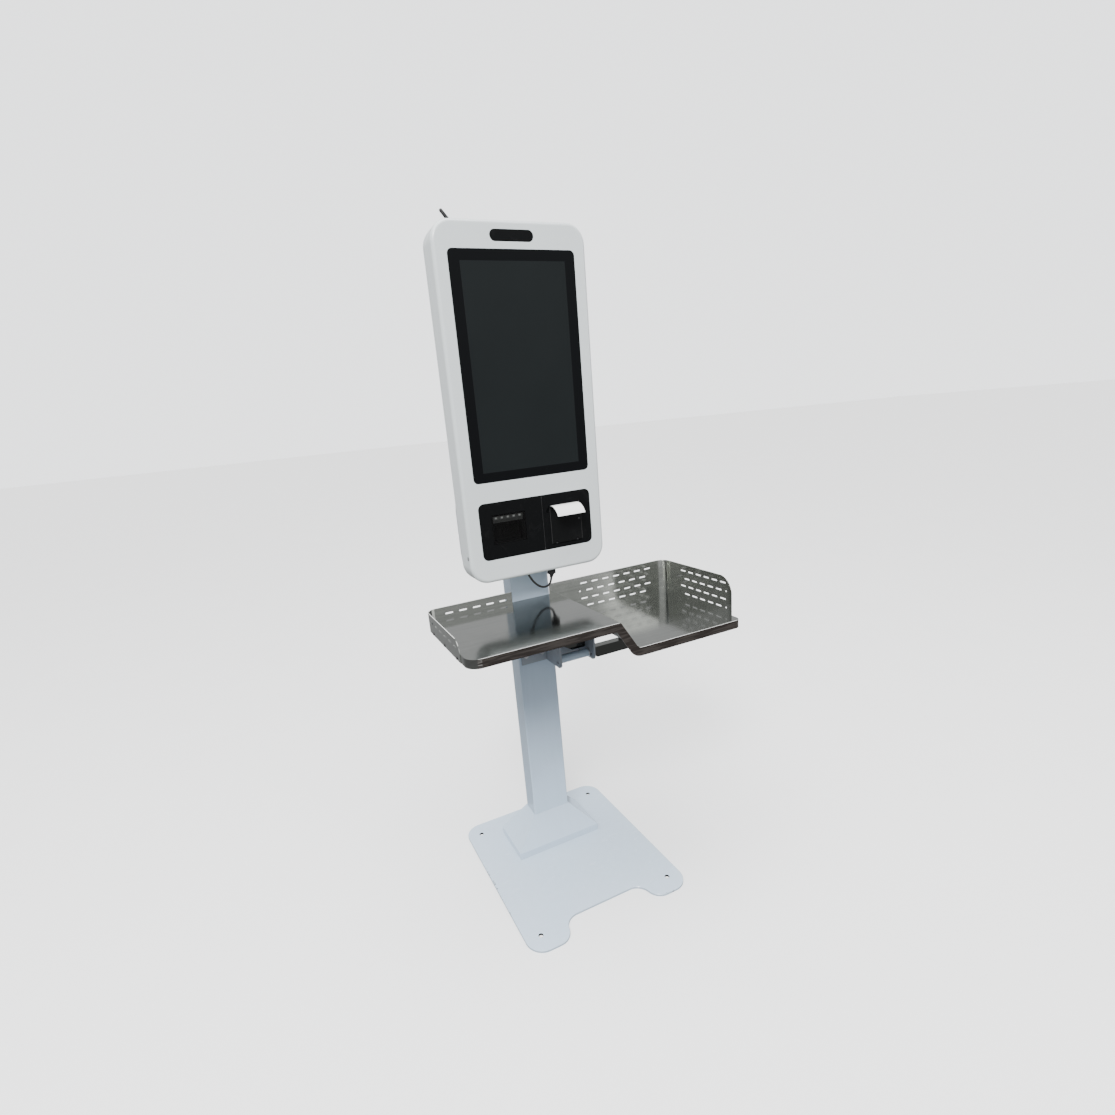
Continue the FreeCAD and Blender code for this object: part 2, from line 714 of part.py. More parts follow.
def pod(side, inset):
    def rectangle(y, x0, x1, z0, z1):
        xs = sorted((side * x0, side * x1))
        points = [Vector(xs[0], y, z0), Vector(xs[1], y, z0), Vector(xs[1], y, z1), Vector(xs[0], y, z1)]
        return Part.makePolygon(points + points[:1])
    front_y = head_back_y - head_back_r - 2
    back_y = pod_back_y - inset
    near = rectangle(front_y - inset, pod_x0 + inset, pod_x1 - inset, pod_z0 + inset, pod_z1 - inset)
    waist = rectangle(head_back_y + 2, pod_x0 + inset, pod_x1 - inset, pod_z0 + inset, pod_z1 - inset)
    far = rectangle(back_y, pod_x0 + inset, pod_x1 - 5 - inset, pod_z0 + pod_slope, pod_z1 - pod_slope)
    return fuse([Part.makeLoft([near, waist], True, True), Part.makeLoft([waist, far], True, True)])


def rear_housing():
    pods = [pod(side, 0).cut(pod(side, 2.0)) for side in (-1, 1)]
    bridge = box(-pod_x0 - 1, pod_x0 + 1, head_back_y, head_back_y + 2, pod_z0 + 30, pod_z1 - 30)
    envelope = head_block(0, 0, head_back_y)
    envelope = envelope.makeFillet(head_back_r, outline_edges(envelope, head_back_y))
    return fuse(pods + [bridge]).cut(envelope)


def head_mount_plate():
    plate = panel(-52, 52, mount_z - 75, mount_z + 75, 8, head_back_y, col_front_y)
    holes = [rod(3.0, (x, head_back_y - 1, z), Y, 10) for x, z in mount_bolt_places()]
    holes.append(rod(cable_hole_r, (0, head_back_y - 1, mount_z), Y, 10))
    return cut(plate, holes)


def mount_bolts():
    y = head_back_y - shell_t
    return group([fuse([rod(3.0, (x, y, z), Y, col_front_y + col_wall + 5 - y),
                        rod(5.5, (x, y - 3.5, z), Y, 3.5)]) for x, z in mount_bolt_places()])


# ------------------------------------------------------- display and controls
def touch_glass():
    return panel(-glass_w / 2, glass_w / 2, glass_bottom_z, glass_bottom_z + glass_h, glass_r,
                 insert_front_y, insert_front_y + glass_t)


def around_screen(rim, y0, y1):
    """A panel that stands out from the picture area by rim on all sides."""
    half = screen_w / 2 + rim
    return panel(-half, half, screen_bottom_z - rim, screen_bottom_z + screen_h + rim, lcd_corner_r, y0, y1)


def display_panel():
    y = insert_front_y + glass_t
    return around_screen(lcd_rim, y, y + lcd_t)


def display_frame():
    y = insert_front_y + glass_t
    mid_z = glass_bottom_z + glass_h / 2
    w, h = glass_w / 2, glass_h / 2
    rim = frame_rim
    outer = panel(-w - rim, w + rim, mid_z - h - rim, mid_z + h + rim, glass_r + rim, wall_in, y + 3)
    rebate = panel(-w - 2, w + 2, mid_z - h - 2, mid_z + h + 2, glass_r + 2, wall_in - 1, y)
    window = around_screen(lcd_rim + lcd_gap, wall_in - 1, y + 4)
    return cut(outer, [rebate, window])


def board(x0, x1, z0, z1, y0, t, chips):
    """A circuit board standing in XZ with blocks on its rear or front face."""
    pieces = [box(x0, x1, y0, y0 + t, z0, z1)]
    for cx, cz, w, h, tall in chips:
        ys = sorted((y0 + t / 2, y0 + t / 2 + math.copysign(t / 2 + abs(tall), tall)))
        pieces.append(box(cx - w / 2, cx + w / 2, ys[0], ys[1], cz - h / 2, cz + h / 2))
    return fuse(pieces)


def touch_board():
    y = insert_front_y + glass_t + lcd_t
    chips = [(-40, 1340, 30, 14, 6), (0, 1345, 18, 18, 2.5), (40, 1338, 14, 24, 8), (15, 1310, 40, 6, 5)]
    pcb = board(-70, 70, 1300, 1370, y + 4, 1.6, chips)
    feet = [rod(3, (x, y, z), Y, 5) for x in (-62, 62) for z in (1308, 1362)]
    return fuse([pcb] + feet)


def stepped_insert(x0, x1, z0, z1, r, t, lip):
    front = panel(x0, x1, z0, z1, r, insert_front_y, wall_in)
    back = panel(x0 - lip, x1 + lip, z0 - lip, z1 + lip, r + lip, wall_in, wall_in + t)
    return fuse([front, back])


def camera_window():
    return stepped_insert(-camera_w / 2, camera_w / 2, camera_z - camera_h / 2, camera_z + camera_h / 2,
                          camera_h / 2 - 0.01, 1.5, 4.0)


def camera_module():
    y = wall_in + 1.5
    pcb = box(-46, 46, y + 7, y + 8.6, camera_z - 9, camera_z + 9)
    lenses = [rod(r, (x, y, camera_z), Y, 7.5) for x, r in ((-18, 5.0), (18, 5.0), (0, 2.2))]
    chip = box(-10, 10, y + 8, y + 11, camera_z - 7, camera_z + 7)
    return fuse([pcb, chip] + lenses)


def lower_panel():
    x = panel_w / 2
    plate = stepped_insert(-x, x, panel_bottom_z, panel_bottom_z + panel_h, panel_r, panel_t, panel_lip)
    g = cover_gap / 2
    y0, y1 = insert_front_y - 2, wall_in + panel_t + 2
    scan = panel(scan_x0, scan_x1, scan_z0, scan_z1, 2, y0, y1)
    mouth = panel(cover_x0 - g, cover_x1 + g, cover_z0 - g, cover_z1 + slot_h, 1.5, y0, y1)
    groove = box(groove_x - 0.7, groove_x + 0.7, y0, insert_front_y + 1.0, panel_bottom_z + 8,
                 panel_bottom_z + panel_h - 9)
    return cut(plate, [scan, mouth, groove])


scan_window_t = 2.0
scan_front_y = wall_in + panel_t + 0.5
led_board_t = 1.6
led_count = 5


def scanner_window():
    return panel(scan_x0, scan_x1, scan_z0, scan_z1, 2, insert_front_y, insert_front_y + scan_window_t)


def scanner_led_strip():
    board_y = scan_front_y - led_board_t
    strip = box(scan_x0 + 5, scan_x1 - 6, board_y, scan_front_y, scan_z1 - 21, scan_z1 - 5)
    pitch = (scan_x1 - scan_x0 - 11) / led_count
    tip_y = insert_front_y + scan_window_t + 0.2
    leds = [rod(1.5, (scan_x0 + 5 + pitch * (k + 0.5), tip_y, scan_z1 - 9), Y, board_y + 0.6 - tip_y)
            for k in range(led_count)]
    return fuse([strip] + leds)


def scanner_module():
    y0 = scan_front_y
    body = box(scan_x0 - 6, scan_x1 + 6, y0, 44, scan_z0 - 8, scan_z1 + 5)
    lip = box(scan_x0 - 6, scan_x1 + 6, wall_in + panel_t, y0 + 1, scan_z0 - 8, scan_z0 - 4)
    throat = box(scan_x0 + 6, scan_x1 - 7, y0 - 1, 30, scan_z0 + 2, scan_z1 - 24)
    eye = rod(8, (scan_x0 + 46, 22, scan_z0 + 25), Y, 10)
    return fuse([cut(fuse([body, lip]), [throat]), eye])


# ------------------------------------------------------------------ printer
cover_axis_y = insert_front_y + 2.1
cover_axis_z = cover_z0 + 2.4
platen_y = 17.0
platen_z = cover_z1 - 4.0
roll_y, roll_z = 40.0, 1008.0
cover_t = 3.0
cover_notch_w = 6.0
body_back_y = 76.0


def cover_notch_xs():
    return [cover_x0 + 12.0, cover_x1 - 12.0 - cover_notch_w]


def printer_cover():
    skin = panel(cover_x0, cover_x1, cover_axis_z, cover_z1, 0, insert_front_y, insert_front_y + cover_t)
    knuckle = rod(cover_knuckle_r, (cover_x0, cover_axis_y, cover_axis_z), X, cover_x1 - cover_x0)
    notch_y = cover_axis_y + cover_knuckle_r + 1
    notches = [box(x, x + cover_notch_w, insert_front_y - 2, notch_y, cover_z0 - 2, cover_axis_z + 3.2)
               for x in cover_notch_xs()]
    bore = rod(cover_hinge_r + spindle_gap, (cover_x0 - 1, cover_axis_y, cover_axis_z), X, 200)
    arms = []
    for x in (cover_x0 + 0.8, cover_x1 - 3.4):
        arms.append(box(x, x + 2.6, insert_front_y + 1, platen_y + 4, platen_z - 12, platen_z + 3.5))
    axle_holes = [rod(1.8 + spindle_gap, (cover_x0 - 2, platen_y, platen_z), X, 100)]
    button_hole = [rod(button_r + button_gap, (button_x, -5, button_z), Y, 12)]
    return cut(fuse([skin, knuckle] + arms), [bore] + notches + axle_holes + button_hole)


def platen_roller():
    length = cover_x1 - cover_x0
    drum = rod(platen_r, (cover_x0 + 5, platen_y, platen_z), X, length - 10)
    axle = rod(1.8, (cover_x0 + 0.4, platen_y, platen_z), X, length - 0.8)
    return fuse([drum, axle])


def feed_button():
    y = insert_front_y - 0.9
    cap = rod(button_r, (button_x, y, button_z), Y, 4.6)
    collar = rod(button_r + 1.4, (button_x, y + cover_t + 2.4, button_z), Y, 1.6)
    return fuse([cap, collar])


def printer_body():
    x0, x1 = cover_x0 - 5.0, cover_x1 + 5.0
    z0, z1 = cover_z0 - 6.0, cover_z1 + 18.0
    y0 = wall_in + panel_t
    outer = box(x0, x1, y0, body_back_y, z0, z1)
    bay = box(cover_x0 - 1.2, cover_x1 + 1.2, y0 - 1, body_back_y - 2, cover_z0 - 2.6, cover_z1 + 2)
    throat = box(cover_x0 + 3, cover_x1 - 3, y0 - 1, platen_y, cover_z1 - 4, cover_z1 + 7)
    posts = []
    for x in cover_notch_xs():
        left, right = x + 1.0, x + cover_notch_w - 1.0
        posts.append(box(left, right, cover_axis_y - 1.0, y0 + 1, cover_axis_z - 1.2, cover_axis_z + 1.2))
        posts.append(box(left, right, y0, y0 + 2, cover_z0 - 3, cover_axis_z + 1.2))
        posts.append(rod(cover_hinge_r, (x - 6, cover_axis_y, cover_axis_z), X, cover_notch_w + 12))
    roll_pins = [rod(roll_core_r - 0.5, (cover_x0 - 1.4, roll_y, roll_z), X, 14),
                 rod(roll_core_r - 0.5, (cover_x1 + 1.4, roll_y, roll_z), X * -1, 18)]
    whole = cut(outer, [bay, throat, thermal_head()])
    return fuse([whole] + posts + roll_pins)


def thermal_head():
    """The print bar that hangs over the platen."""
    low = platen_z + platen_r + head_gap
    return box(cover_x0 + 6, cover_x1 - 6, platen_y - 5, platen_y + 9, low, cover_z1 + 7)


def paper_roll():
    width = paper_w - 1
    x = (cover_x0 + cover_x1) / 2 + paper_shift_x - width / 2
    return ring(roll_r, roll_core_r, (x, roll_y, roll_z), X, width)


def paper_strip():
    """The printed end of the paper, curling out of the slot above the cover."""
    x0 = (cover_x0 + cover_x1) / 2 + paper_shift_x - paper_w / 2
    z = cover_z1 + slot_h / 2 + 1.2
    start_y = 9.0
    y = head_front_y - 1.0
    a = math.radians(paper_curl_deg)

    def on_arc(angle, r):
        return Vector(x0, y - r * math.sin(angle), z - paper_curl_r + r * math.cos(angle))
    outer, inner = paper_curl_r + paper_t, paper_curl_r
    edges = [Part.LineSegment(Vector(x0, start_y, z), Vector(x0, start_y, z + paper_t)).toShape(),
             Part.LineSegment(Vector(x0, start_y, z + paper_t), on_arc(0, outer)).toShape(),
             Part.Arc(on_arc(0, outer), on_arc(a / 2, outer), on_arc(a, outer)).toShape(),
             Part.LineSegment(on_arc(a, outer), on_arc(a, inner)).toShape(),
             Part.Arc(on_arc(a, inner), on_arc(a / 2, inner), on_arc(0, inner)).toShape(),
             Part.LineSegment(on_arc(0, inner), Vector(x0, start_y, z)).toShape()]
    return Part.Face(Part.Wire(edges)).extrude(X * paper_w)


# -------------------------------------------------------------- electronics
def mainboard():
    y = head_back_y - shell_t - 8
    chips = [(-120, 1560, 40, 40, -14), (-70, 1590, 26, 30, -3), (-60, 1530, 60, 8, -10),
             (-140, 1480, 16, 50, -9), (-90, 1475, 45, 12, -12), (-35, 1480, 20, 20, -4)]
    pcb = board(-160, -10, 1455, 1625, y, 1.6, chips)
    feet = [rod(3.5, (x, y + 1, z), Y, 7) for x in (-152, -18) for z in (1463, 1617)]
    return fuse([pcb] + feet)


def power_supply():
    y1 = head_back_y - shell_t
    case = box(-150, -52, y1 - 34, y1 - 4, 1240, 1400)
    feet = [rod(4, (x, y1 - 5, z), Y, 5) for x in (-142, -60) for z in (1248, 1392)]
    terminal = box(-140, -75, y1 - 30, y1 - 12, 1222, 1241)
    return fuse([case, terminal] + feet)


def fan_housing():
    half = fan_s / 2
    frame = panel(fan_x - half, fan_x + half, fan_z - half, fan_z + half, 4, fan_y0, fan_y1)
    bore = rod(28.5, (fan_x, fan_y0 - 1, fan_z), Y, fan_y1 - fan_y0 + 2)
    hub = rod(fan_hub_r, (fan_x, fan_y1 - 3, fan_z), Y, 3)
    struts = []
    for k in range(3):
        strut = box(fan_x, fan_x + 30, fan_y1 - 3, fan_y1 - 0.5, fan_z - 1.5, fan_z + 1.5)
        strut.rotate(Vector(fan_x, 0, fan_z), Y, 120 * k + 30)
        struts.append(strut)
    seat = rod(fan_shaft_r + spindle_gap, (fan_x, fan_y1 - 4, fan_z), Y, 3)
    dx = fan_hole_pitch / 2
    holes = [rod(fan_hole_r, (fan_x + sx * dx, fan_y0 - 1, fan_z + sz * dx), Y, fan_y1 - fan_y0 + 2)
             for sx in (-1, 1) for sz in (-1, 1)]
    return cut(fuse([frame.cut(bore), hub] + struts), [seat] + holes)


def fan_rotor():
    hub = rod(fan_hub_r, (fan_x, fan_y0 + 1.5, fan_z), Y, 10)
    shaft = rod(fan_shaft_r, (fan_x, fan_y0 + 11, fan_z), Y, 3)
    blades = []
    for k in range(7):
        blade = box(fan_x + 9, fan_x + 27, fan_y0 + 5.7, fan_y0 + 6.9, fan_z - 6.5, fan_z + 6.5)
        blade.rotate(Vector(fan_x, fan_y0 + 6.3, fan_z), X, 32)
        blade.rotate(Vector(fan_x, 0, fan_z), Y, 360.0 / 7 * k)
        blades.append(blade)
    return fuse([hub, shaft] + blades)


# ------------------------------------------------------------------- antenna
def antenna_socket():
    y = head_back_y
    thread = rod(3.1, (antenna_x, y - 5, antenna_z), Y, 17)
    nut = hexagon(9.0, (antenna_x, y, antenna_z), Y, 2.4)
    inner_nut = hexagon(9.0, (antenna_x, y - shell_t - 2.4, antenna_z), Y, 2.4)
    return fuse([thread, nut, inner_nut])


def antenna_axes():
    a = math.radians(antenna_lean_deg)
    along = Vector(-math.sin(a), 0, math.cos(a))
    across = Vector(math.cos(a), 0, math.sin(a))
    return along, across


def antenna_elbow():
    y = head_back_y
    along, across = antenna_axes()
    centre = Vector(antenna_x, antenna_y, antenna_z)
    sleeve = ring(5.5, 3.1 + spindle_gap, (antenna_x, y + 3, antenna_z), Y, 9.0)
    neck = rod(5.5, (antenna_x, y + 12.4, antenna_z), Y, 2.2)
    collar = ring(5.5, 3.3, (antenna_x, y + 11.5, antenna_z), Y, 1.5)
    pieces = [sleeve, collar, neck]
    for side in (-1, 1):
        start = centre + across * (side * 2.9)
        pieces.append(Part.makeCylinder(4.6, 1.9, start, across * side))
        pieces.append(cheek_root(centre, along, across, side, y + 13))
    pieces.append(Part.makeCylinder(1.4, 9.6, centre - across * 4.8, across))
    return fuse(pieces)


def cheek_root(centre, along, across, side, y0):
    start = Vector(centre.x, y0, centre.z) + across * (side * 2.9) - along * 4.0
    points = [start, start + along * 8.0, start + along * 8.0 + Y * (centre.y - y0),
              start + Y * (centre.y - y0)]
    return prism([(p, 0) for p in points], across * (side * 1.9))


def antenna_rod():
    along, across = antenna_axes()
    centre = Vector(antenna_x, antenna_y, antenna_z)
    knuckle = Part.makeCylinder(4.6, 5.2, centre - across * 2.6, across)
    stalk = Part.makeCylinder(2.5, 12.0, centre, along)
    whip = Part.makeCone(antenna_r, antenna_r * 0.8, antenna_len - 11.0, centre + along * 8.0, along)
    tip = Part.makeSphere(antenna_r * 0.8, centre + along * (antenna_len - 3.0))
    bore = Part.makeCylinder(1.4 + spindle_gap, 20, centre - across * 10, across)
    return fuse([knuckle, stalk, whip, tip]).cut(bore)


# --------------------------------------------------------------- lead, plug
def route_point(p):
    return Vector(p[0], cord_y, p[1])


def cord_path():
    points = [route_point(p) for p in cord_route]
    edges = []
    start = points[0]
    for before, here, after in zip(points, points[1:], points[2:]):
        back, ahead = before - here, after - here
        run = min(back.Length, ahead.Length)
        half_turn = (math.pi - back.getAngle(ahead)) / 2
        reach = 0.45 * run
        radius = reach / math.tan(half_turn)
        u, v = back.normalize(), ahead.normalize()
        bisector = (u + v).normalize()
        middle = here + bisector * (radius / math.cos(half_turn) - radius)
        first, last = here + u * reach, here + v * reach
        edges.append(Part.LineSegment(start, first).toShape())
        edges.append(Part.Arc(first, middle, last).toShape())
        start = last
        print("cord bend radius", round(radius, 1))
    edges.append(Part.LineSegment(start, points[-1]).toShape())
    return Part.Wire(edges)


def data_cord():
    path = cord_path()
    first = route_point(cord_route[0])
    heading = route_point(cord_route[1]) - first
    circle = Part.Wire(Part.Circle(first, heading, cord_d / 2).toShape())
    tube = path.makePipeShell([circle], True, False)
    print("cord length", round(path.Length, 1), "volume ratio",
          round(tube.Volume / (path.Length * math.pi * cord_d ** 2 / 4), 4))
    return tube


plug_bottom_z = 872.0


def data_plug():
    top = head_bottom_z - 2.0
    shell = rect_plan(socket_x - 11, socket_x + 11, cord_y - 6.5, cord_y + 6.5, 2.5, plug_bottom_z, top)
    tongue = box(socket_x - 7.5, socket_x + 7.5, cord_y - 2.5, cord_y + 2.5, top - 0.5, head_bottom_z + 3.0)
    return fuse([shell, tongue])


def strain_relief():
    end = route_point(cord_route[0])
    collar = rod(7.5, (socket_x, cord_y, plug_bottom_z - 2.5), Z, 2.5)
    backwards = end - route_point(cord_route[1])
    boot = Part.makeCone(cord_d / 2 + 1.0, 7.0, plug_bottom_z - end.z + 2, end, backwards)
    keep = box(socket_x - 30, socket_x + 30, cord_y - 20, cord_y + 20, plug_bottom_z - 40, plug_bottom_z)
    return fuse([collar, boot.common(keep)])


def data_socket():
    z = head_bottom_z + shell_t
    case = box(socket_x - 12, socket_x + 12, cord_y - 7, cord_y + 7, z, z + 12)
    nose = box(socket_x - 9.8, socket_x + 9.8, cord_y - 4.8, cord_y + 4.8, head_bottom_z - 2.0, z)
    mouth = box(socket_x - 7.7, socket_x + 7.7, cord_y - 2.7, cord_y + 2.7, head_bottom_z - 2, z + 4)
    case = case.common(rear_block(shell_t, head_seam_y + seam_gap))
    return fuse([case, nose]).cut(mouth)


def cord_gland():
    z = head_bottom_z
    flange = rod(8.0, (gland_x, cord_y, z - 2.5), Z, 2.5)
    end = route_point(cord_route[-1])
    heading = (end - route_point(cord_route[-2])).normalize()
    nozzle = Part.makeCylinder(cord_d / 2 + 1.4, 6.0, end, heading)
    boss = rod(6.0, (gland_x, cord_y, end.z + 2.6), Z, z - 2.5 - end.z - 2.6)
    neck = rod(gland_bore_r, (gland_x, cord_y, z - 1), Z, shell_t + 3)
    return fuse([flange, boss, nozzle, neck])


# --------------------------------------------------------- hinges and latch
def hinge_leaves(on_door):
    solids = []
    side = head_w / 2
    third = hinge_len / 3
    for z0 in hinge_zs:
        if on_door:
            plate = box(side, side + 2, hinge_y - 30, hinge_y - 5, z0, z0 + hinge_len)
            spans = [(z0, third - 0.25), (z0 + 2 * third + 0.25, third - 0.25)]
            web_y = (hinge_y - 6, hinge_y)
            bore_r = hinge_pin_r + spindle_gap
        else:
            plate = box(side, side + 2, hinge_y + 4, hinge_y + 13.5, z0, z0 + hinge_len)
            spans = [(z0 + third + 0.25, third - 0.5)]
            web_y = (hinge_y, hinge_y + 5)
            bore_r = hinge_pin_r
        pieces = [plate]
        for z, length in spans:
            pieces.append(rod(hinge_knuckle_r, (hinge_x, hinge_y, z), Z, length))
            pieces.append(box(side, hinge_x, web_y[0], web_y[1], z, z + length))
        leaf = fuse(pieces)
        bore = rod(bore_r, (hinge_x, hinge_y, z0 - 1), Z, hinge_len + 2)
        solids.append(leaf.cut(bore))
    return group(solids)


def hinge_pins():
    pins = []
    for z0 in hinge_zs:
        pins.append(fuse([rod(hinge_pin_r, (hinge_x, hinge_y, z0 - 1.5), Z, hinge_len + 3),
                          rod(hinge_pin_r + 1.2, (hinge_x, hinge_y, z0 + hinge_len + 0.3), Z, 1.4)]))
    return group(pins)


latch_bush_r = 5.0


def latch_bush():
    x = -head_w / 2
    body = rod(latch_bush_r, (x - 0.3, latch_y, latch_z), X, 8.3)
    nut = hexagon(11.0, (x + shell_t, latch_y, latch_z), X, 3.0)
    return fuse([body, nut]).cut(rod(latch_pin_r + spindle_gap, (x - 2, latch_y, latch_z), X, 14))


def latch_cam():
    x = -head_w / 2
    spindle = rod(latch_pin_r, (x - 0.1, latch_y, latch_z), X, 13.0)
    key = hexagon(3.0, (x - 1, latch_y, latch_z), X, 3.0)
    x0 = x + 8.4
    arm = box(x0, x0 + 3, latch_y - 4, latch_y + 4, latch_z - 32, latch_z + 4)
    hook = box(x0, x0 + 3, latch_y + 3, latch_y + 12, latch_z - 32, latch_z - 27)
    return fuse([cut(spindle, [key]), arm, hook])


def latch_keeper():
    x = -head_w / 2 + shell_t + 1.4
    plate = box(x, x + 2, latch_y + 15, 64, latch_z + 1, latch_z + 19)
    foot = box(-head_w / 2 + shell_t, x + 2, head_seam_y + seam_gap + 2, 64, latch_z + 1, latch_z + 19)
    pin = rod(2.0, (x, latch_y + 22, latch_z + 7.6), X, 9.0)
    return fuse([plate, foot, pin])


# -------------------------------------------------------------------- export
save("base_plate", foot_plate())
save("foot_bolts", foot_bolts())
save("foot_cone", foot_cone())
save("column_tube", column())
save("column_cap", column_cap())
save("power_inlet", power_inlet())
save("power_switch", power_switch())
save("tray_bracket", tray_bracket())
save("bracket_bolts", bracket_bolts())
save("bracket_tube", bracket_tube())
save("tray_studs", tray_studs())
save("bracket_web", bracket_web())
save("support_rail", support_rail())
save("tray_pan", tray_pan())
save("tray_wall_left", tray_wall_left())
save("tray_wall_right", tray_wall_right())
save("tray_screws", tray_screws())
save("head_mount_plate", head_mount_plate())
save("mount_bolts", mount_bolts())
save("front_shell", front_shell())
save("rear_shell", rear_shell())
save("rear_housing", rear_housing())
save("touch_glass", touch_glass())
save("display_panel", display_panel())
save("display_frame", display_frame())
save("touch_board", touch_board())
save("camera_window", camera_window())
save("camera_module", camera_module())
save("lower_panel", lower_panel())
save("scanner_window", scanner_window())
save("scanner_led_strip", scanner_led_strip())
save("scanner_module", scanner_module())
save("printer_body", printer_body())
save("printer_cover", printer_cover())
save("platen_roller", platen_roller())
save("thermal_head", thermal_head())
save("paper_roll", paper_roll())
save("paper_strip", paper_strip())
save("feed_button", feed_button())
save("mainboard", mainboard())
save("power_supply", power_supply())
save("fan_housing", fan_housing())
save("fan_rotor", fan_rotor())
save("antenna_socket", antenna_socket())
save("antenna_elbow", antenna_elbow())
save("antenna_rod", antenna_rod())
save("data_cord", data_cord())
save("data_plug", data_plug())
save("strain_relief", strain_relief())
save("data_socket", data_socket())
save("cord_gland", cord_gland())
save("hinge_leaf_door", hinge_leaves(True))
save("hinge_leaf_frame", hinge_leaves(False))
save("hinge_pins", hinge_pins())
save("latch_bush", latch_bush())
save("latch_cam", latch_cam())
save("latch_keeper", latch_keeper())
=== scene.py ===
import bpy
import json
import math
from mathutils import Matrix, Vector


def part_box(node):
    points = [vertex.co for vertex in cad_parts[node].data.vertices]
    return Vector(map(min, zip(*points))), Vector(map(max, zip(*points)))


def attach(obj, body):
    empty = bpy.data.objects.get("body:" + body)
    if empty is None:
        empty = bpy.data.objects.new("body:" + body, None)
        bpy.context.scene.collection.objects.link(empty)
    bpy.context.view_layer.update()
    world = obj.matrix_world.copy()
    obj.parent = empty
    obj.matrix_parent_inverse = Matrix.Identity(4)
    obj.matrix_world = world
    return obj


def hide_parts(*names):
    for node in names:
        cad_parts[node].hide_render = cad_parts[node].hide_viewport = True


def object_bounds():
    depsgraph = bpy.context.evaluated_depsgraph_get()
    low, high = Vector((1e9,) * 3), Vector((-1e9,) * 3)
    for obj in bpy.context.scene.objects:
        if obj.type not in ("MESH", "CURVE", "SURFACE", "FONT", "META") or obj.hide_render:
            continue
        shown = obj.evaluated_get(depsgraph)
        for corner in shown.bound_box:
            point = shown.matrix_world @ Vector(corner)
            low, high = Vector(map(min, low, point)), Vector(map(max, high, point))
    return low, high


bl_info = {
    "name": "Self-service ticket kiosk",
    "version": (1, 0, 0),
    "blender": (4, 5, 0),
    "location": "3D View > Sidebar > Kiosk",
    "description": "Finishes, small parts, lead and studio of a touch-screen ticket kiosk",
    "category": "Object",
}

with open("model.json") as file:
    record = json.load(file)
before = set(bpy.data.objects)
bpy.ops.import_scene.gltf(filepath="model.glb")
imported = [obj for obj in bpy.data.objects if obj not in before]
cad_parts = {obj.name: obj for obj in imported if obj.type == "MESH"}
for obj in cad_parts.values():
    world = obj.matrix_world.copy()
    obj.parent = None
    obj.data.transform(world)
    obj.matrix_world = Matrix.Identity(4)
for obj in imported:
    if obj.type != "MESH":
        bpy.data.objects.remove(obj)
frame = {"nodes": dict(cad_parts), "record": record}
nodes = frame["nodes"]
cad_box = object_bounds()
mm = 0.001


# ------------------------------------------------------------------ settings
def colour(name, description, default):
    return bpy.props.FloatVectorProperty(name=name, description=description, default=default,
                                         subtype="COLOR", size=3, min=0, max=1)


def length(name, description, default):
    return bpy.props.FloatProperty(name=name, description=description, default=default,
                                   min=0, unit="LENGTH", subtype="DISTANCE")


class KioskColours(bpy.types.PropertyGroup):
    """Colours that a user would change."""

    head: colour("Head", "Powder coat of the head shells", (0.60, 0.64, 0.65))
    stand: colour("Stand", "Gloss coat of the column, cone and foot plate", (0.45, 0.55, 0.66))
    steel: colour("Stainless", "Brushed stainless of the tray", (0.225, 0.230, 0.218))
    bezel: colour("Bezel", "Black print behind the screen glass", (0.0020, 0.0024, 0.0030))
    screen: colour("Screen", "Switched-off picture area", (0.0085, 0.0105, 0.0110))
    bracket: colour("Bracket", "Satin coat of the tray bracket", (0.30, 0.33, 0.37))
    sheath: colour("Lead", "Rubber sheath of the lead", (0.012, 0.012, 0.013))
    paper: colour("Paper", "Receipt paper", (0.86, 0.86, 0.84))


class KioskSizes(bpy.types.PropertyGroup):
    """Sizes that a user would change."""

    peel: length("Orange peel", "Height of the waves in the powder coat", 0.00012)
    grain: length("Grain", "Depth of the brushing in the stainless sheet", 0.00003)
    gasket: length("Gasket", "Wall of the rubber gaskets", 0.0016)
    lead: length("Lead thickness", "Diameter of the short lead under the head", 0.006)
    tooth: length("Tear bar tooth", "Pitch of the teeth on the tear bar", 0.002)
    weld: length("Weld bead", "Half thickness of the weld beads", 0.0014)
    screw: length("Screw head", "Radius of the tray's screw heads", 0.0036)


# -------------------------------------------------------------- shader maths
class Wire:
    """A number running through the node tree; sums on it add Math nodes."""

    def __init__(self, owner, socket):
        self.owner = owner
        self.socket = socket

    def join(self, operation, *values):
        return self.owner.node("ShaderNodeMath", {"operation": operation}, dict(enumerate(values)))

    def __add__(self, other):
        return self.join("ADD", self, other)

    def __sub__(self, other):
        return self.join("SUBTRACT", self, other)

    def __rsub__(self, other):
        return self.join("SUBTRACT", other, self)

    def __mul__(self, other):
        return self.join("MULTIPLY", self, other)

    def __abs__(self):
        return self.join("ABSOLUTE", self)

    __radd__ = __add__
    __rmul__ = __mul__

    def over(self, low, high):
        """0 below low, 1 above high, and smooth between them; low may be the larger."""
        values = {"Value": self, "From Min": low, "From Max": high, "To Min": 0.0, "To Max": 1.0}
        return self.owner.node("ShaderNodeMapRange", {"interpolation_type": "SMOOTHSTEP"}, values)

    def within(self, low, high, soft):
        """1 between low and high, with soft edges."""
        return self.over(low - soft, low + soft) * self.over(high + soft, high - soft)


# Sockets of the Mix node in its colour mode.
MIX_FACTOR, MIX_FIRST, MIX_SECOND, MIX_COLOUR = 0, 6, 7, 2


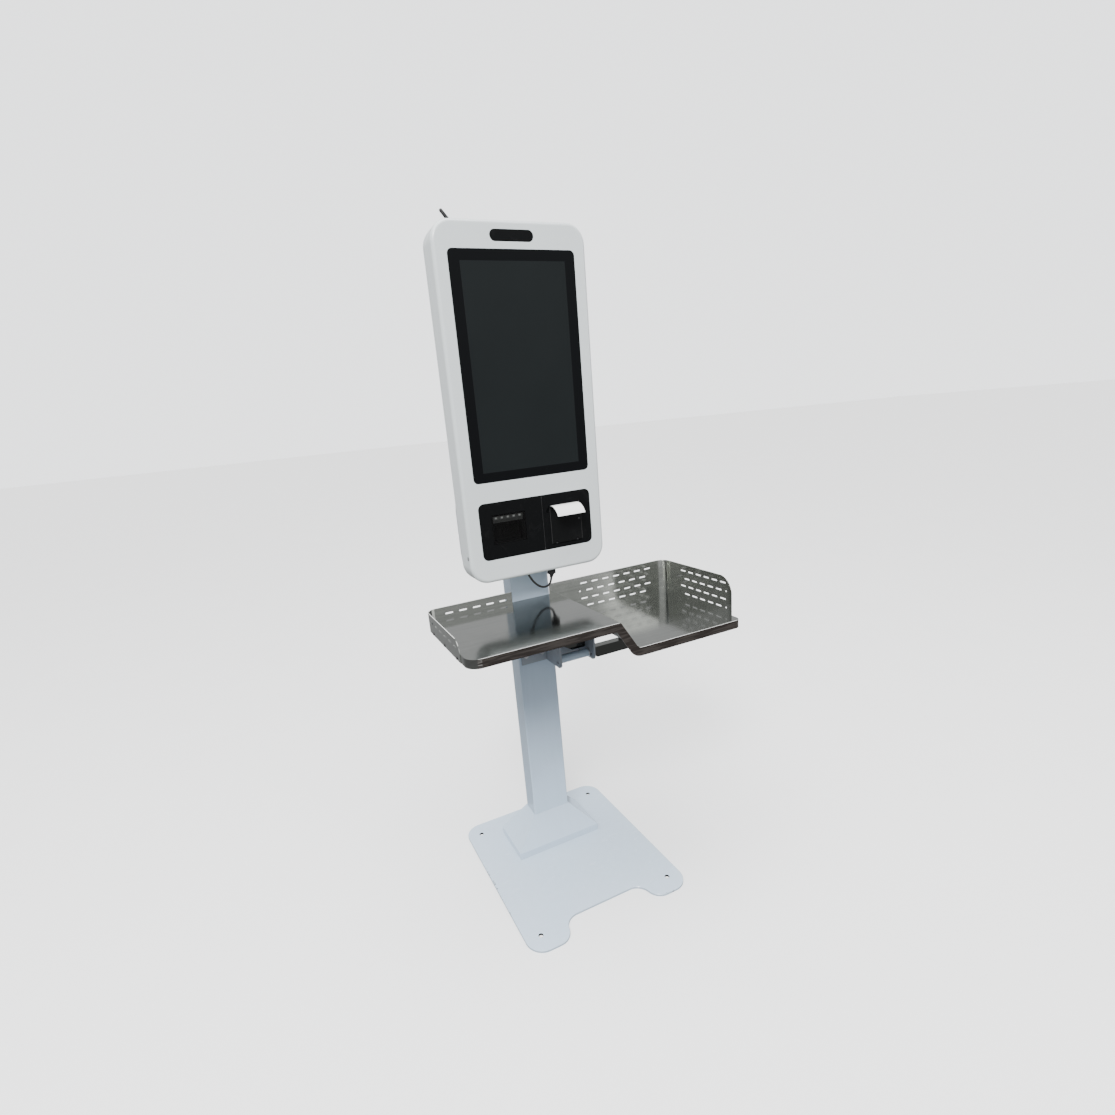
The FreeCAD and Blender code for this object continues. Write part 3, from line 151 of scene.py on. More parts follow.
class NodeTree:
    """A node tree whose new nodes all come from one method."""

    def __init__(self, tree):
        self.tree = tree

    def node(self, kind, settings, values, output=0):
        """Adds a node with its settings and inputs, and returns one output as a wire."""
        node = self.tree.nodes.new(kind)
        for key, value in settings.items():
            setattr(node, key, value)
        for key, value in values.items():
            self.feed(node.inputs[key], value)
        return Wire(self, node.outputs[output])

    def feed(self, socket, value):
        """Links a wire to the socket, or writes a constant on it. Colours get an alpha of 1."""
        if isinstance(value, Wire):
            self.tree.links.new(value.socket, socket)
        elif socket.type == "RGBA":
            socket.default_value = (*value, 1.0)
        else:
            socket.default_value = value

    def split(self, vector):
        return [self.node("ShaderNodeSeparateXYZ", {}, {"Vector": vector}, axis) for axis in "XYZ"]


class Finish(NodeTree):
    """A material on Principled BSDF. Constants go straight onto the shader's sockets."""

    def __init__(self, name, **constants):
        self.material = bpy.data.materials.new(name)
        self.material.use_nodes = True
        super().__init__(self.material.node_tree)
        self.shader = self.tree.nodes["Principled BSDF"]
        for key, value in constants.items():
            self.set(key.replace("_", " "), value)
        self.place = self.node("ShaderNodeTexCoord", {}, {}, "Object")
        self.x, self.y, self.z = self.split(self.place)
        facing = self.node("ShaderNodeNewGeometry", {}, {}, "True Normal")
        self.facing_x, self.facing_y, self.facing_z = self.split(facing)

    def set(self, socket, value):
        self.feed(self.shader.inputs[socket], value)

    def stretched(self, scale):
        return self.node("ShaderNodeMapping", {}, {"Vector": self.place, "Scale": scale})

    def noise(self, scale, detail=3.0, rough=0.55, stretch=None, warp=0.0):
        vector = self.stretched(stretch) if stretch else self.place
        values = {"Vector": vector, "Scale": scale, "Detail": detail, "Roughness": rough,
                  "Distortion": warp}
        return self.node("ShaderNodeTexNoise", {}, values)

    def cells(self, scale, output="Distance", feature="F1"):
        values = {"Vector": self.place, "Scale": scale}
        return self.node("ShaderNodeTexVoronoi", {"feature": feature}, values, output)

    def blend(self, mask, first, second):
        """The first colour where the mask is 0, and the second where it is 1."""
        values = {MIX_FACTOR: mask, MIX_FIRST: first, MIX_SECOND: second}
        return self.node("ShaderNodeMix", {"data_type": "RGBA"}, values, MIX_COLOUR)

    def bump(self, height, depth, strength=1.0):
        values = {"Height": height, "Distance": depth, "Strength": strength}
        self.set("Normal", self.node("ShaderNodeBump", {}, values))


def shade(colour, factor):
    return tuple(min(1.0, c * factor) for c in colour)


# ------------------------------------------------------------------ finishes
def head_paint(colours, sizes):
    """Semi-gloss powder coat with orange peel, faint smudges and specks of dust."""
    f = Finish("head_paint", Coat_Weight=0.25, Coat_Roughness=0.12, IOR=1.5)
    cloud = f.noise(6.0, 4.0)
    smudge = f.noise(38.0, 5.0, 0.6, warp=0.6).over(0.56, 0.74)
    speck = f.cells(260.0).over(0.10, 0.04) * f.noise(30.0).over(0.60, 0.66)
    colour = f.blend(cloud, shade(colours.head, 0.965), shade(colours.head, 1.03))
    colour = f.blend(smudge * 0.18, colour, shade(colours.head, 0.84))
    f.set("Base Color", f.blend(speck * 0.35, colour, (0.25, 0.24, 0.22)))
    f.set("Roughness", 0.26 + smudge * 0.14 + f.noise(180.0) * 0.08)
    f.bump(f.noise(420.0, 2.0) + f.noise(1300.0, 1.0) * 0.35, sizes.peel, 0.7)
    return f


def stand_paint(colours, sizes):
    """Glossy pale coat. The foot plate has chips along its edges, scuffs and dust, and painted shade in its
    anchor holes.
    """
    f = Finish("stand_paint", Coat_Weight=0.5, Coat_Roughness=0.08, IOR=1.5)
    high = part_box("base_plate")[1]
    pattern = next(m for m in frame["record"]["mounts"] if m["name"] == "floor_anchors")["dims"]
    anchor = Vector((pattern["spacing_x_mm"], pattern["spacing_y_mm"])) * mm / 2
    hole_r, hole_soft = 6.6 * mm, 0.2 * mm
    kick_y, kick_reach, kick_fade = -30.0 * mm, 80.0 * mm, 100.0 * mm
    edge_x = abs(f.x).over(high.x - 8.0 * mm, high.x - 1.5 * mm)
    edge_y = abs(f.y).over(high.y - 6.0 * mm, high.y - 0.8 * mm)
    on_plate = f.z.over(high.z + 6.0 * mm, high.z + 1.5 * mm)
    rim = (edge_x + edge_y).over(0.3, 0.9)
    chips = f.noise(85.0, 5.0, 0.7).over(0.61, 0.625) * rim * on_plate
    chips = chips * f.noise(7.0).over(0.50, 0.56)
    kicked = f.x.over(0, -kick_fade) * abs(f.y - kick_y).over(kick_fade, kick_reach) * rim * on_plate
    chips = chips + kicked * f.noise(110.0, 5.0, 0.7).over(0.56, 0.575)
    scuff = f.noise(12.0, 6.0, 0.65, (1.0, 3.5, 1.0), 1.2).over(0.60, 0.70) * on_plate
    dust = f.noise(60.0, 6.0, 0.7) * on_plate
    away_x, away_y = abs(f.x) - anchor.x, abs(f.y) - anchor.y
    # Painted shade: the walls of the anchor holes are coloured near black, for the shade inside the holes.
    painted_hole_shade = (away_x * away_x + away_y * away_y).over((hole_r + hole_soft) ** 2, hole_r ** 2)
    streak = f.noise(9.0, 4.0, 0.5, (6.0, 6.0, 0.6))
    colour = f.blend(streak, shade(colours.stand, 0.96), shade(colours.stand, 1.04))
    colour = f.blend(dust * 0.10, colour, (0.42, 0.40, 0.37))
    colour = f.blend(scuff * 0.16, colour, (0.30, 0.31, 0.33))
    colour = f.blend(painted_hole_shade, colour, (0.012, 0.012, 0.013))
    f.set("Base Color", f.blend(chips, colour, (0.045, 0.035, 0.030)))
    f.set("Roughness", 0.17 + f.noise(150.0) * 0.06 + scuff * 0.16 + dust * 0.10 + chips * 0.4)
    f.bump(f.noise(380.0, 2.0) - chips * 3.0, sizes.peel * 0.8, 0.6)
    return f


def brushed_steel(name, steel, sizes, wall_light_lift):
    """Brushed stainless sheet with grain along the bends and hand marks. Painted reflection in dark bands on
    the front rim, painted glints at its left corner, painted highlights along the top edges and paler painted
    light on the walls. The last argument is how many times paler than the floor the painted light can make a
    wall."""
    f = Finish(name, Metallic=1.0)
    along, across = 14.0, 1500.0
    rim_t, wall_top = 1.2 * mm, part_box("tray_wall_left")[1].z
    floor_grain = f.noise(1.0, 3.0, 0.6, (along, across, across))
    side_grain = f.noise(1.0, 3.0, 0.6, (across, along, across))
    on_side = abs(f.facing_x).over(0.6, 0.8)
    grain = side_grain * on_side + floor_grain * (1 - on_side)
    long_streak = f.noise(1.0, 2.0, 0.5, (3.0, 160.0, 160.0))
    marks = f.noise(17.0, 6.0, 0.62, warp=0.8).over(0.50, 0.72)
    rings = f.cells(34.0, feature="SMOOTH_F1").over(0.10, 0.30) * f.noise(21.0).over(0.48, 0.60)
    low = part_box("tray_pan")[0]
    rim = f.y.over(low.y + rim_t + 1.4 * mm, low.y + rim_t)
    upright = 1 - abs(f.facing_z).over(0.3, 0.6)
    wall = upright * f.y.over(low.y + 30.0 * mm, low.y + 60.0 * mm)
    # Painted highlight: a pale, mostly non-metallic strip along the top edge of the front rim and of the
    # walls.
    cut = rim * abs(f.facing_z).over(0.5, 0.9) + f.z.over(wall_top - 0.7 * mm, wall_top - 0.2 * mm)
    colour = f.blend(grain, shade(steel, 0.90), shade(steel, 1.10))
    colour = f.blend(long_streak.over(0.35, 0.7) * 0.35, colour, shade(steel, 0.74))
    colour = f.blend(marks * 0.22, colour, shade(steel, 1.2))
    # Painted light: the walls are coloured paler than the floor, up to the last argument's factor, and the
    # walls facing front or back more so.
    back = wall * abs(f.facing_y).over(0.5, 0.8)
    pale = wall * (0.25 + long_streak * 0.3) + back * (0.15 + long_streak * 0.4)
    colour = f.blend(pale, colour, shade(steel, wall_light_lift))
    # Painted reflection: the front rim is coloured dark brown in horizontal bands, for the dark surroundings
    # it reflects.
    rim_reflection_bands = f.noise(1.0, 2.0, 0.5, (18.0, 18.0, 240.0))
    painted_rim_reflection = f.blend(rim_reflection_bands.over(0.42, 0.62), shade((0.50, 0.41, 0.37), steel[0]),
                   shade((1.0, 0.86, 0.78), steel[0]))
    colour = f.blend(rim * upright * 0.9, colour, painted_rim_reflection)
    # Painted highlight: pale glints on the rounded front-left corner of the rim.
    corner = f.x.over(low.x + 33.0 * mm, low.x + 30.0 * mm) * rim_reflection_bands.over(0.50, 0.58) * rim * upright
    colour = f.blend(corner * 0.8, colour, (0.75, 0.73, 0.70))
    f.set("Base Color", f.blend(cut, colour, (0.85, 0.85, 0.83)))
    f.set("Metallic", 1 - cut * 0.8)
    f.set("Roughness", 0.105 + grain * 0.015 + marks * 0.04 + rings * 0.02)
    f.bump(grain, sizes.grain, 0.06)
    return f


def bracket_coat(colours, sizes):
    """Satin metallic coat with paler, worn patches."""
    f = Finish("bracket_coat", Metallic=0.35)
    wear = f.noise(70.0, 5.0, 0.7).over(0.60, 0.70)
    colour = f.blend(f.noise(12.0), shade(colours.bracket, 0.9), shade(colours.bracket, 1.1))
    f.set("Base Color", f.blend(wear * 0.4, colour, (0.42, 0.42, 0.41)))
    f.set("Roughness", 0.42 + f.noise(200.0) * 0.14)
    f.bump(f.noise(500.0, 3.0), sizes.peel, 0.6)
    return f


def spangled_zinc(name, colour, rough):
    """Zinc-coated steel with crystal spangles of different brightness."""
    f = Finish(name, Metallic=1.0)
    spangle = f.cells(150.0, "Color")
    level = f.node("ShaderNodeRGBToBW", {}, {"Color": spangle})
    streak = f.noise(30.0, 4.0)
    f.set("Base Color", f.blend(level * 0.6 + streak * 0.4, shade(colour, 0.78), shade(colour, 1.2)))
    f.set("Roughness", rough + level * 0.14)
    f.bump(level + f.noise(700.0) * 0.4, 0.00004, 0.5)
    return f


def bright_plate(name, colour, rough=0.16):
    """Plated or blackened metal with fine turning marks and a little tarnish."""
    f = Finish(name, Metallic=1.0)
    turned = f.noise(900.0, 2.0)
    tarnish = f.noise(120.0, 4.0).over(0.55, 0.7)
    f.set("Base Color", f.blend(tarnish * 0.5, colour, shade(colour, 0.55)))
    f.set("Roughness", rough + tarnish * 0.2 + turned * 0.05)
    f.bump(turned, 0.00002, 0.5)
    return f


def screen_glass(colours):
    """Polished glass over a black print with a lighter picture area, finger marks and a little dust."""
    f = Finish("screen_glass", IOR=1.52, Specular_IOR_Level=0.14)
    low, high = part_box("display_panel")
    print_w, soft = 14.0 * mm, 0.3 * mm
    across = f.x.within(low.x + print_w, high.x - print_w, soft)
    picture = across * f.z.within(low.z + print_w, high.z - print_w, soft)
    glow = f.noise(3.0, 3.0)
    panel = f.blend(glow, shade(colours.screen, 0.8), shade(colours.screen, 1.25))
    dust = f.cells(420.0).over(0.06, 0.02) * f.noise(40.0).over(0.52, 0.60)
    colour = f.blend(picture, colours.bezel, panel)
    f.set("Base Color", f.blend(dust * 0.25, colour, (0.06, 0.06, 0.06)))
    smear = f.noise(14.0, 5.0, 0.6, (1.0, 1.0, 0.45), 1.4).over(0.52, 0.72)
    ridges = f.noise(900.0, 1.0) * smear
    f.set("Roughness", 0.035 + smear * 0.10 + ridges * 0.08 + dust * 0.3)
    f.bump(f.noise(5.0, 1.0), 0.00003, 0.15)
    return f


def gloss_black(name, colour, rough, alpha=1.0, seams=()):
    """Piano-black moulding with hair scratches and finger marks. Seams are x places where a paler,
    broken line is painted as a highlight, up to the top of the lower panel."""
    f = Finish(name, IOR=1.5, Alpha=alpha, Specular_IOR_Level=0.14)
    panel_top, seam_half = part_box("lower_panel")[1].z, 0.5 * mm
    below_top = f.z.over(panel_top + 2.3 * mm, panel_top - 7.7 * mm)
    hair = f.noise(1.0, 3.0, 0.7, (900.0, 900.0, 22.0)).over(0.66, 0.74)
    cross = f.noise(1.0, 3.0, 0.7, (25.0, 900.0, 800.0)).over(0.68, 0.76)
    smear = f.noise(26.0, 5.0, 0.6, warp=1.0).over(0.54, 0.72)
    colour = f.blend(hair * 0.2 + cross * 0.2 + smear * 0.04, colour, (0.05, 0.05, 0.05))
    for x in seams:
        # Painted highlight: a paler, broken line along each seam.
        painted_seam_highlight = abs(f.x - x).over(2 * seam_half, seam_half) * below_top * (0.5 + f.noise(60.0) * 0.5)
        colour = f.blend(painted_seam_highlight * 0.6, colour, (0.07, 0.07, 0.07))
    f.set("Base Color", colour)
    f.set("Roughness", rough + hair * 0.08 + cross * 0.08 + smear * 0.08)
    f.bump(f.noise(240.0, 2.0), 0.00003, 0.4)
    return f


def grained_plastic(name, colour, rough=0.5, scale=700.0):
    """Moulded plastic with a spark-eroded grain."""
    f = Finish(name, IOR=1.46)
    grain = f.cells(scale, feature="SMOOTH_F1")
    cloud = f.noise(25.0, 4.0)
    f.set("Base Color", f.blend(cloud, shade(colour, 0.88), shade(colour, 1.14)))
    f.set("Roughness", rough + grain * 0.18)
    f.bump(grain + f.noise(1400.0) * 0.3, 0.00008, 0.6)
    return f


def circuit_board():
    """Green solder mask with fine copper tracks, pads and dark packages."""
    f = Finish("circuit_board", IOR=1.5)
    tracks = f.cells(190.0, feature="DISTANCE_TO_EDGE").over(0.07, 0.04)
    pads = f.cells(330.0).over(0.20, 0.15)
    raised = abs(f.facing_y).over(0.6, 0.4)
    green = f.blend(f.noise(40.0), (0.005, 0.040, 0.020), (0.008, 0.060, 0.028))
    colour = f.blend(tracks * 0.7, green, (0.014, 0.12, 0.055))
    colour = f.blend(pads * 0.8, colour, (0.62, 0.55, 0.30))
    f.set("Base Color", f.blend(raised, colour, (0.03, 0.03, 0.032)))
    f.set("Roughness", 0.32 + tracks * 0.1)
    f.bump(tracks + pads, 0.00006, 0.6)
    return f


def panel_back():
    """The screen module: a pressed metal tray behind the glass."""
    f = Finish("panel_back", Metallic=0.9)
    rib = f.node("ShaderNodeTexWave", {"wave_type": "BANDS", "bands_direction": "Z"},
                 {"Vector": f.place, "Scale": 6.0, "Distortion": 0.0})
    cloud = f.noise(60.0, 5.0)
    f.set("Base Color", f.blend(cloud, (0.34, 0.35, 0.36), (0.50, 0.51, 0.52)))
    f.set("Roughness", 0.34 + cloud * 0.16)
    f.bump(rib.over(0.8, 0.95) + cloud * 0.05, 0.0006, 0.7)
    return f


def frosted_strip():
    """Frosted light strip: a row of small lamps in a faintly lit band."""
    f = Finish("frosted_strip", IOR=1.45, Emission_Strength=0.9)
    low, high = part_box("scanner_led_strip")
    fine = f.noise(500.0, 2.0)
    count, row_drop = 5, 4.0 * mm
    pitch = (high.x - low.x) / count
    from_row = abs(f.z - (high.z - row_drop))
    phase = f.node("ShaderNodeMath", {"operation": "PINGPONG"}, {0: f.x - low.x, 1: pitch / 2})
    dot_x = phase.over(pitch / 2 - 3.4 * mm, pitch / 2 - 2.6 * mm)
    dot = dot_x * from_row.over(2.6 * mm, 1.8 * mm)
    band = from_row.over(4.4 * mm, 3.6 * mm)
    glow = f.blend(band * 0.5, (0.02, 0.022, 0.022), (0.10, 0.105, 0.10))
    f.set("Base Color", f.blend(fine, (0.20, 0.21, 0.20), (0.30, 0.31, 0.30)))
    f.set("Emission Color", f.blend(dot, glow, (0.95, 1.0, 0.98)))
    f.set("Roughness", 0.4 + fine * 0.2)
    f.bump(fine, 0.0001)
    return f


def receipt_paper(colours):
    """Thermal paper: fine fibres, a slight sheen and faint roller marks along its length."""
    f = Finish("receipt_paper", IOR=1.4)
    fibre = f.noise(1.0, 5.0, 0.7, (900.0, 2600.0, 2600.0))
    roller = f.noise(1.0, 2.0, 0.5, (420.0, 6.0, 6.0)).over(0.55, 0.7)
    f.set("Base Color", f.blend(fibre, shade(colours.paper, 0.95), shade(colours.paper, 1.04)))
    f.set("Roughness", 0.50 + fibre * 0.16 - roller * 0.10)
    f.bump(fibre + roller * 0.3, 0.00004, 0.6)
    return f


def rubber(name, colour, rough):
    """Black rubber with a pale bloom in patches."""
    f = Finish(name, IOR=1.5)
    bloom = f.noise(90.0, 5.0, 0.65).over(0.48, 0.72)
    fine = f.noise(1500.0, 2.0)
    f.set("Base Color", f.blend(bloom * 0.5, colour, (0.055, 0.053, 0.050)))
    f.set("Roughness", rough + bloom * 0.12 + fine * 0.08)
    f.bump(fine, 0.00006, 0.6)
    return f


def lit_button():
    """Red lens of the feed button, faintly lit."""
    f = Finish("lit_button", IOR=1.49, Emission_Strength=0.15)
    ring = f.noise(700.0, 3.0)
    f.set("Base Color", f.blend(ring, (0.42, 0.05, 0.04), (0.55, 0.09, 0.07)))
    f.set("Emission Color", f.blend(ring, (0.4, 0.03, 0.02), (0.6, 0.06, 0.04)))
    f.set("Roughness", 0.25 + ring * 0.12)
    f.bump(ring, 0.00005, 0.4)
    return f


def cover_edges():
    """The x places of the printer cover's side edges."""
    low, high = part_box("printer_cover")
    return low.x + 0.3 * mm, high.x - 0.3 * mm


def all_finishes(colours, sizes):
    """A finish for every material slot of the record, and one for the scanner's window."""
    panel_seam = 16.5 * mm
    return {
        "body_paint": head_paint(colours, sizes),
        "stand_paint": stand_paint(colours, sizes),
        # The tray's walls get painted light up to 3.4 times paler than its floor.
        "tray_steel": brushed_steel("tray_steel", colours.steel, sizes, wall_light_lift=3.4),
        # dark_steel is the tray's stainless at 0.42 of its colour: a shaded copy, painted shade for the parts
        # in shadow under the tray.
        "dark_steel": brushed_steel("dark_steel", shade(colours.steel, 0.42), sizes, wall_light_lift=1.0),
        "bracket_steel": bracket_coat(colours, sizes),
        "zinc_steel": spangled_zinc("zinc_steel", (0.55, 0.56, 0.57), rough=0.28),
        "galvanised": spangled_zinc("galvanised", (0.50, 0.52, 0.54), rough=0.34),
        "bolt_steel": bright_plate("bolt_steel", (0.62, 0.62, 0.63)),
        "black_bolt": bright_plate("black_bolt", (0.035, 0.034, 0.036), rough=0.3),
        "brass_nickel": bright_plate("brass_nickel", (0.64, 0.60, 0.48), rough=0.2),
        "screen_glass": screen_glass(colours),
        "lcd": panel_back(),
        "black_gloss": gloss_black("black_gloss", (0.0030, 0.0033, 0.0036), rough=0.05,
                                   seams=(panel_seam,)),
        "cover_plastic": gloss_black("cover_plastic", (0.0045, 0.0048, 0.005), rough=0.10,
                                     seams=cover_edges()),
        "smoked_window": gloss_black("smoked_window", (0.003, 0.003, 0.003), rough=0.04, alpha=0.55),
        "black_matte": grained_plastic("black_matte", (0.022, 0.022, 0.024)),
        "grey_plastic": grained_plastic("grey_plastic", (0.50, 0.54, 0.57), rough=0.42, scale=500.0),
        "pcb": circuit_board(),
        "led_strip": frosted_strip(),
        "paper": receipt_paper(colours),
        "roller_rubber": rubber("roller_rubber", (0.03, 0.03, 0.03), rough=0.6),
        "cord_black": rubber("cord_black", colours.sheath, rough=0.42),
        "gasket_rubber": rubber("gasket_rubber", (0.012, 0.012, 0.013), rough=0.6),
        "button_red": lit_button(),
    }


finishes = {}


# ---------------------------------------------------------- modelling helpers
def deselect():
    if bpy.context.mode != "OBJECT":
        bpy.ops.object.mode_set(mode="OBJECT")
    bpy.ops.object.select_all(action="DESELECT")


def choose(*pieces):
    """Selects just these pieces. The first becomes the active one."""
    deselect()
    for piece in pieces:
        piece.select_set(True)
    bpy.context.view_layer.objects.active = pieces[0]


def settle(name):
    """Puts the active object's place into its mesh and names it."""
    piece = bpy.context.object
    bpy.ops.object.transform_apply(location=True, rotation=True, scale=True)
    piece.name = name
    piece.data.name = name
    return piece


def start_block(name, low, high):
    deselect()
    low, high = Vector(low), Vector(high)
    bpy.ops.mesh.primitive_cube_add(size=1, location=(low + high) / 2, scale=high - low)
    return settle(name)


def start_rod(name, radius, depth, place, sides):
    deselect()
    bpy.ops.mesh.primitive_cylinder_add(vertices=sides, radius=radius, depth=depth, location=place)
    return settle(name)


def copy_of(piece):
    """A copy with a mesh of its own."""
    copy = piece.copy()
    copy.data = piece.data.copy()
    bpy.context.scene.collection.objects.link(copy)
    return copy


def aim(piece, place, direction):
    """Turns the piece's z axis along the direction and puts its origin at the place."""
    turn = direction.to_track_quat("Z", "Y").to_matrix().to_4x4()
    piece.data.transform(Matrix.Translation(place) @ turn)


def pick(piece, kind, test):
    """Edit mode with just the faces or edges that pass the test."""
    choose(piece)
    bpy.ops.object.mode_set(mode="EDIT")
    bpy.ops.mesh.select_mode(type=kind)
    bpy.ops.mesh.select_all(action="DESELECT")
    bpy.ops.object.mode_set(mode="OBJECT")
    for item in piece.data.polygons if kind == "FACE" else piece.data.edges:
        item.select = test(item)
    bpy.ops.object.mode_set(mode="EDIT")


def modify(piece, kind, **settings):
    choose(piece)
    modifier = piece.modifiers.new(kind.lower(), kind)
    for key, value in settings.items():
        setattr(modifier, key, value)
    bpy.ops.object.modifier_apply(modifier=modifier.name)


def edge_along(piece, axis):
    """A test for the piece's straight edges along one axis."""
    def test(edge):
        a, b = (piece.data.vertices[i].co for i in edge.vertices)
        step = b - a
        return abs(step[axis]) > 0.999 * step.length
    return test


def complete(piece, finish, body, angle=35):
    """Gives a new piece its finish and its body. Faces that meet at less than the angle are
    shaded smooth."""
    choose(piece)
    if piece.type == "MESH":
        bpy.ops.object.shade_smooth_by_angle(angle=math.radians(angle))
    piece.data.materials.clear()
    piece.data.materials.append(finishes[finish].material)
    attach(piece, body)
    deselect()
    return piece


def join(name, pieces):
    choose(*pieces)
    bpy.ops.object.join()
    pieces[0].name = name
    pieces[0].data.name = name
    return pieces[0]


def rounded_ring(name, low, high, radius, wall):
    """A band round a standing rounded rectangle, its wall growing inwards."""
    piece = start_block(name, low, high)
    pick(piece, "EDGE", edge_along(piece, 1))
    bpy.ops.mesh.bevel(offset=radius, segments=14, affect="EDGES")
    bpy.ops.object.mode_set(mode="OBJECT")
    pick(piece, "FACE", lambda face: abs(face.normal.y) > 0.9)
    bpy.ops.mesh.delete(type="FACE")
    bpy.ops.object.mode_set(mode="OBJECT")
    modify(piece, "SOLIDIFY", thickness=wall, offset=-1.0)
    return piece


def islands(node):
    """Lowest and highest corners of each separate solid of a CAD node."""
    per_metre = 1e5  # points less than about 0.01 mm apart count as one
    mesh = nodes[node].data
    parent = {}

    def root(key):
        while parent[key] != key:
            key = parent[key]
        return key
    keys = [tuple(round(c * per_metre) for c in v.co) for v in mesh.vertices]
    for key in keys:
        parent.setdefault(key, key)
    for face in mesh.polygons:
        first = root(keys[face.vertices[0]])
        for i in face.vertices[1:]:
            parent[root(keys[i])] = first
    groups = {}
    for key, v in zip(keys, mesh.vertices):
        groups.setdefault(root(key), []).append(v.co)
    corners = []
    for points in groups.values():
        low = Vector([min(p[i] for p in points) for i in range(3)])
        high = Vector([max(p[i] for p in points) for i in range(3)])
        corners.append((low, high))
    return sorted(corners, key=lambda pair: tuple(pair[0]))


# ------------------------------------------------------------------ operators
class KIOSK_OT_finishes(bpy.types.Operator):
    """Gives every CAD piece its detailed finish."""
    bl_idname = "kiosk.finishes"
    bl_label = "Finishes"

    def execute(self, context):
        finishes.update(all_finishes(context.scene.kiosk_colours, context.scene.kiosk_sizes))
        slots = {s["node"]: s["material_slot"] for s in frame["record"]["subparts"]}
        for name, piece in nodes.items():
            finish = "smoked_window" if name == "scanner_window" else slots[name]
            piece.data.materials.clear()
            piece.data.materials.append(finishes[finish].material)
        return {"FINISHED"}


class KIOSK_OT_gaskets(bpy.types.Operator):
    """Adds the rubber gaskets between the shells, round the glass and round the camera window."""
    bl_idname = "kiosk.gaskets"
    bl_label = "Gaskets"

    def execute(self, context):
        wall = context.scene.kiosk_sizes.gasket
        front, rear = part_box("front_shell"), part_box("rear_shell")
        inset, seam_r = Vector((0.6 * mm, 0, 0.6 * mm)), 47.4 * mm
        seam_low = Vector((front[0].x, front[1].y, front[0].z)) + inset
        seam_high = Vector((front[1].x, rear[0].y, front[1].z)) - inset
        seam = rounded_ring("seam_gasket", seam_low, seam_high, seam_r, wall)
        complete(seam, "gasket_rubber", "stand")
        self.bead("glass_gasket", *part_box("touch_glass"), 0.0, 12.0 * mm)
        self.bead("window_gasket", *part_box("camera_window"), 4.0 * mm, 12.4 * mm)
        return {"FINISHED"}

    def bead(self, name, low, high, lip, radius):
        """A thin ring in the gap round a window's face. The lip is what lies hidden behind the opening."""
        gap, setback, depth, wall = 0.38 * mm, 0.5 * mm, 1.4 * mm, 0.36 * mm
        low = low + Vector((lip - gap, setback, lip - gap))
        high = Vector((high.x - lip + gap, low.y + depth, high.z - lip + gap))
        ring = rounded_ring(name, low, high, radius + gap, wall)
        complete(ring, "gasket_rubber", "door")


class KIOSK_OT_tear_bar(bpy.types.Operator):
    """Adds the toothed steel bar that the receipt is torn against."""
    bl_idname = "kiosk.tear_bar"
    bl_label = "Tear bar"

    def execute(self, context):
        pitch = context.scene.kiosk_sizes.tooth
        low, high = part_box("printer_cover")
        side_gap, depth, setback = 3.6 * mm, 4.0 * mm, 3.2 * mm
        reach, drop, thick = 0.9 * mm, 0.15 * mm, 0.4 * mm
        start, end = low.x + side_gap, high.x - side_gap
        teeth = int((end - start) / pitch)
        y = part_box("lower_panel")[0].y + setback
        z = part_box("paper_strip")[1].z + 0.55 * mm
        deselect()
        bpy.ops.mesh.primitive_grid_add(x_subdivisions=2 * teeth, y_subdivisions=3, size=1,
                                        location=((start + end) / 2, y, z))
        bpy.context.object.scale = (end - start, depth, 1)
        bar = settle("tear_bar")
        edge_y = min(v.co.y for v in bar.data.vertices)
        step = (end - start) / (2 * teeth)
        for v in bar.data.vertices:
            if abs(v.co.y - edge_y) < 1e-5 and round((v.co.x - start) / step) % 2:
                v.co.y -= reach
                v.co.z -= drop
        modify(bar, "SOLIDIFY", thickness=thick, offset=1.0)
        complete(bar, "bolt_steel", "door", 20)
        return {"FINISHED"}


class KIOSK_OT_screws(bpy.types.Operator):
    """Replaces the tray's screws with pan heads that have cross recesses."""
    bl_idname = "kiosk.screws"
    bl_label = "Tray screws"

    def execute(self, context):
        radius = context.scene.kiosk_sizes.screw
        centre = (cad_box[0] + cad_box[1]) / 2
        places = islands("tray_screws")
        length = max(places[0][1] - places[0][0])
        model = self.screw(length, radius)
        screws = []
        for low, high in places:
            size = high - low
            side = 1 if (low + high).x / 2 > centre.x else -1
            outward = Vector((side, 0, 0)) if size.x > size.y else Vector((0, 1, 0))
            screws.append(copy_of(model))
            aim(screws[-1], (low + high) / 2 + outward * (length / 2), outward)
        bpy.data.objects.remove(model)
        whole = join("tray_screw_set", screws)
        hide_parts("tray_screws")
        complete(whole, "black_bolt", "stand", 30)
        return {"FINISHED"}

    def screw(self, length, radius):
        """One screw that points down, with the top of its head at the origin."""
        head_t, shank_r, arm, slit, cut = 1.6 * mm, 2.0 * mm, 1.9 * mm, 0.4 * mm, 1.0 * mm
        shank_l = length - head_t
        head = start_rod("screw_head", radius, head_t, (0, 0, -head_t / 2), 32)
        pick(head, "EDGE", lambda e: all(head.data.vertices[i].co.z > -1e-6 for i in e.vertices))
        bpy.ops.mesh.bevel(offset=0.55 * head_t, segments=4, affect="EDGES")
        bpy.ops.object.mode_set(mode="OBJECT")
        recesses = [start_block("recess", (-a, -b, -cut), (a, b, cut)) for a, b in ((arm, slit), (slit, arm))]
        for recess in recesses:
            modify(head, "BOOLEAN", operation="DIFFERENCE", object=recess, solver="EXACT")
            bpy.data.objects.remove(recess)
        shank = start_rod("screw_shank", shank_r, shank_l, (0, 0, -head_t - shank_l / 2), 20)
        modify(shank, "BEVEL", width=0.5 * mm, segments=2, limit_method="ANGLE")
        return join("screw", [head, shank])


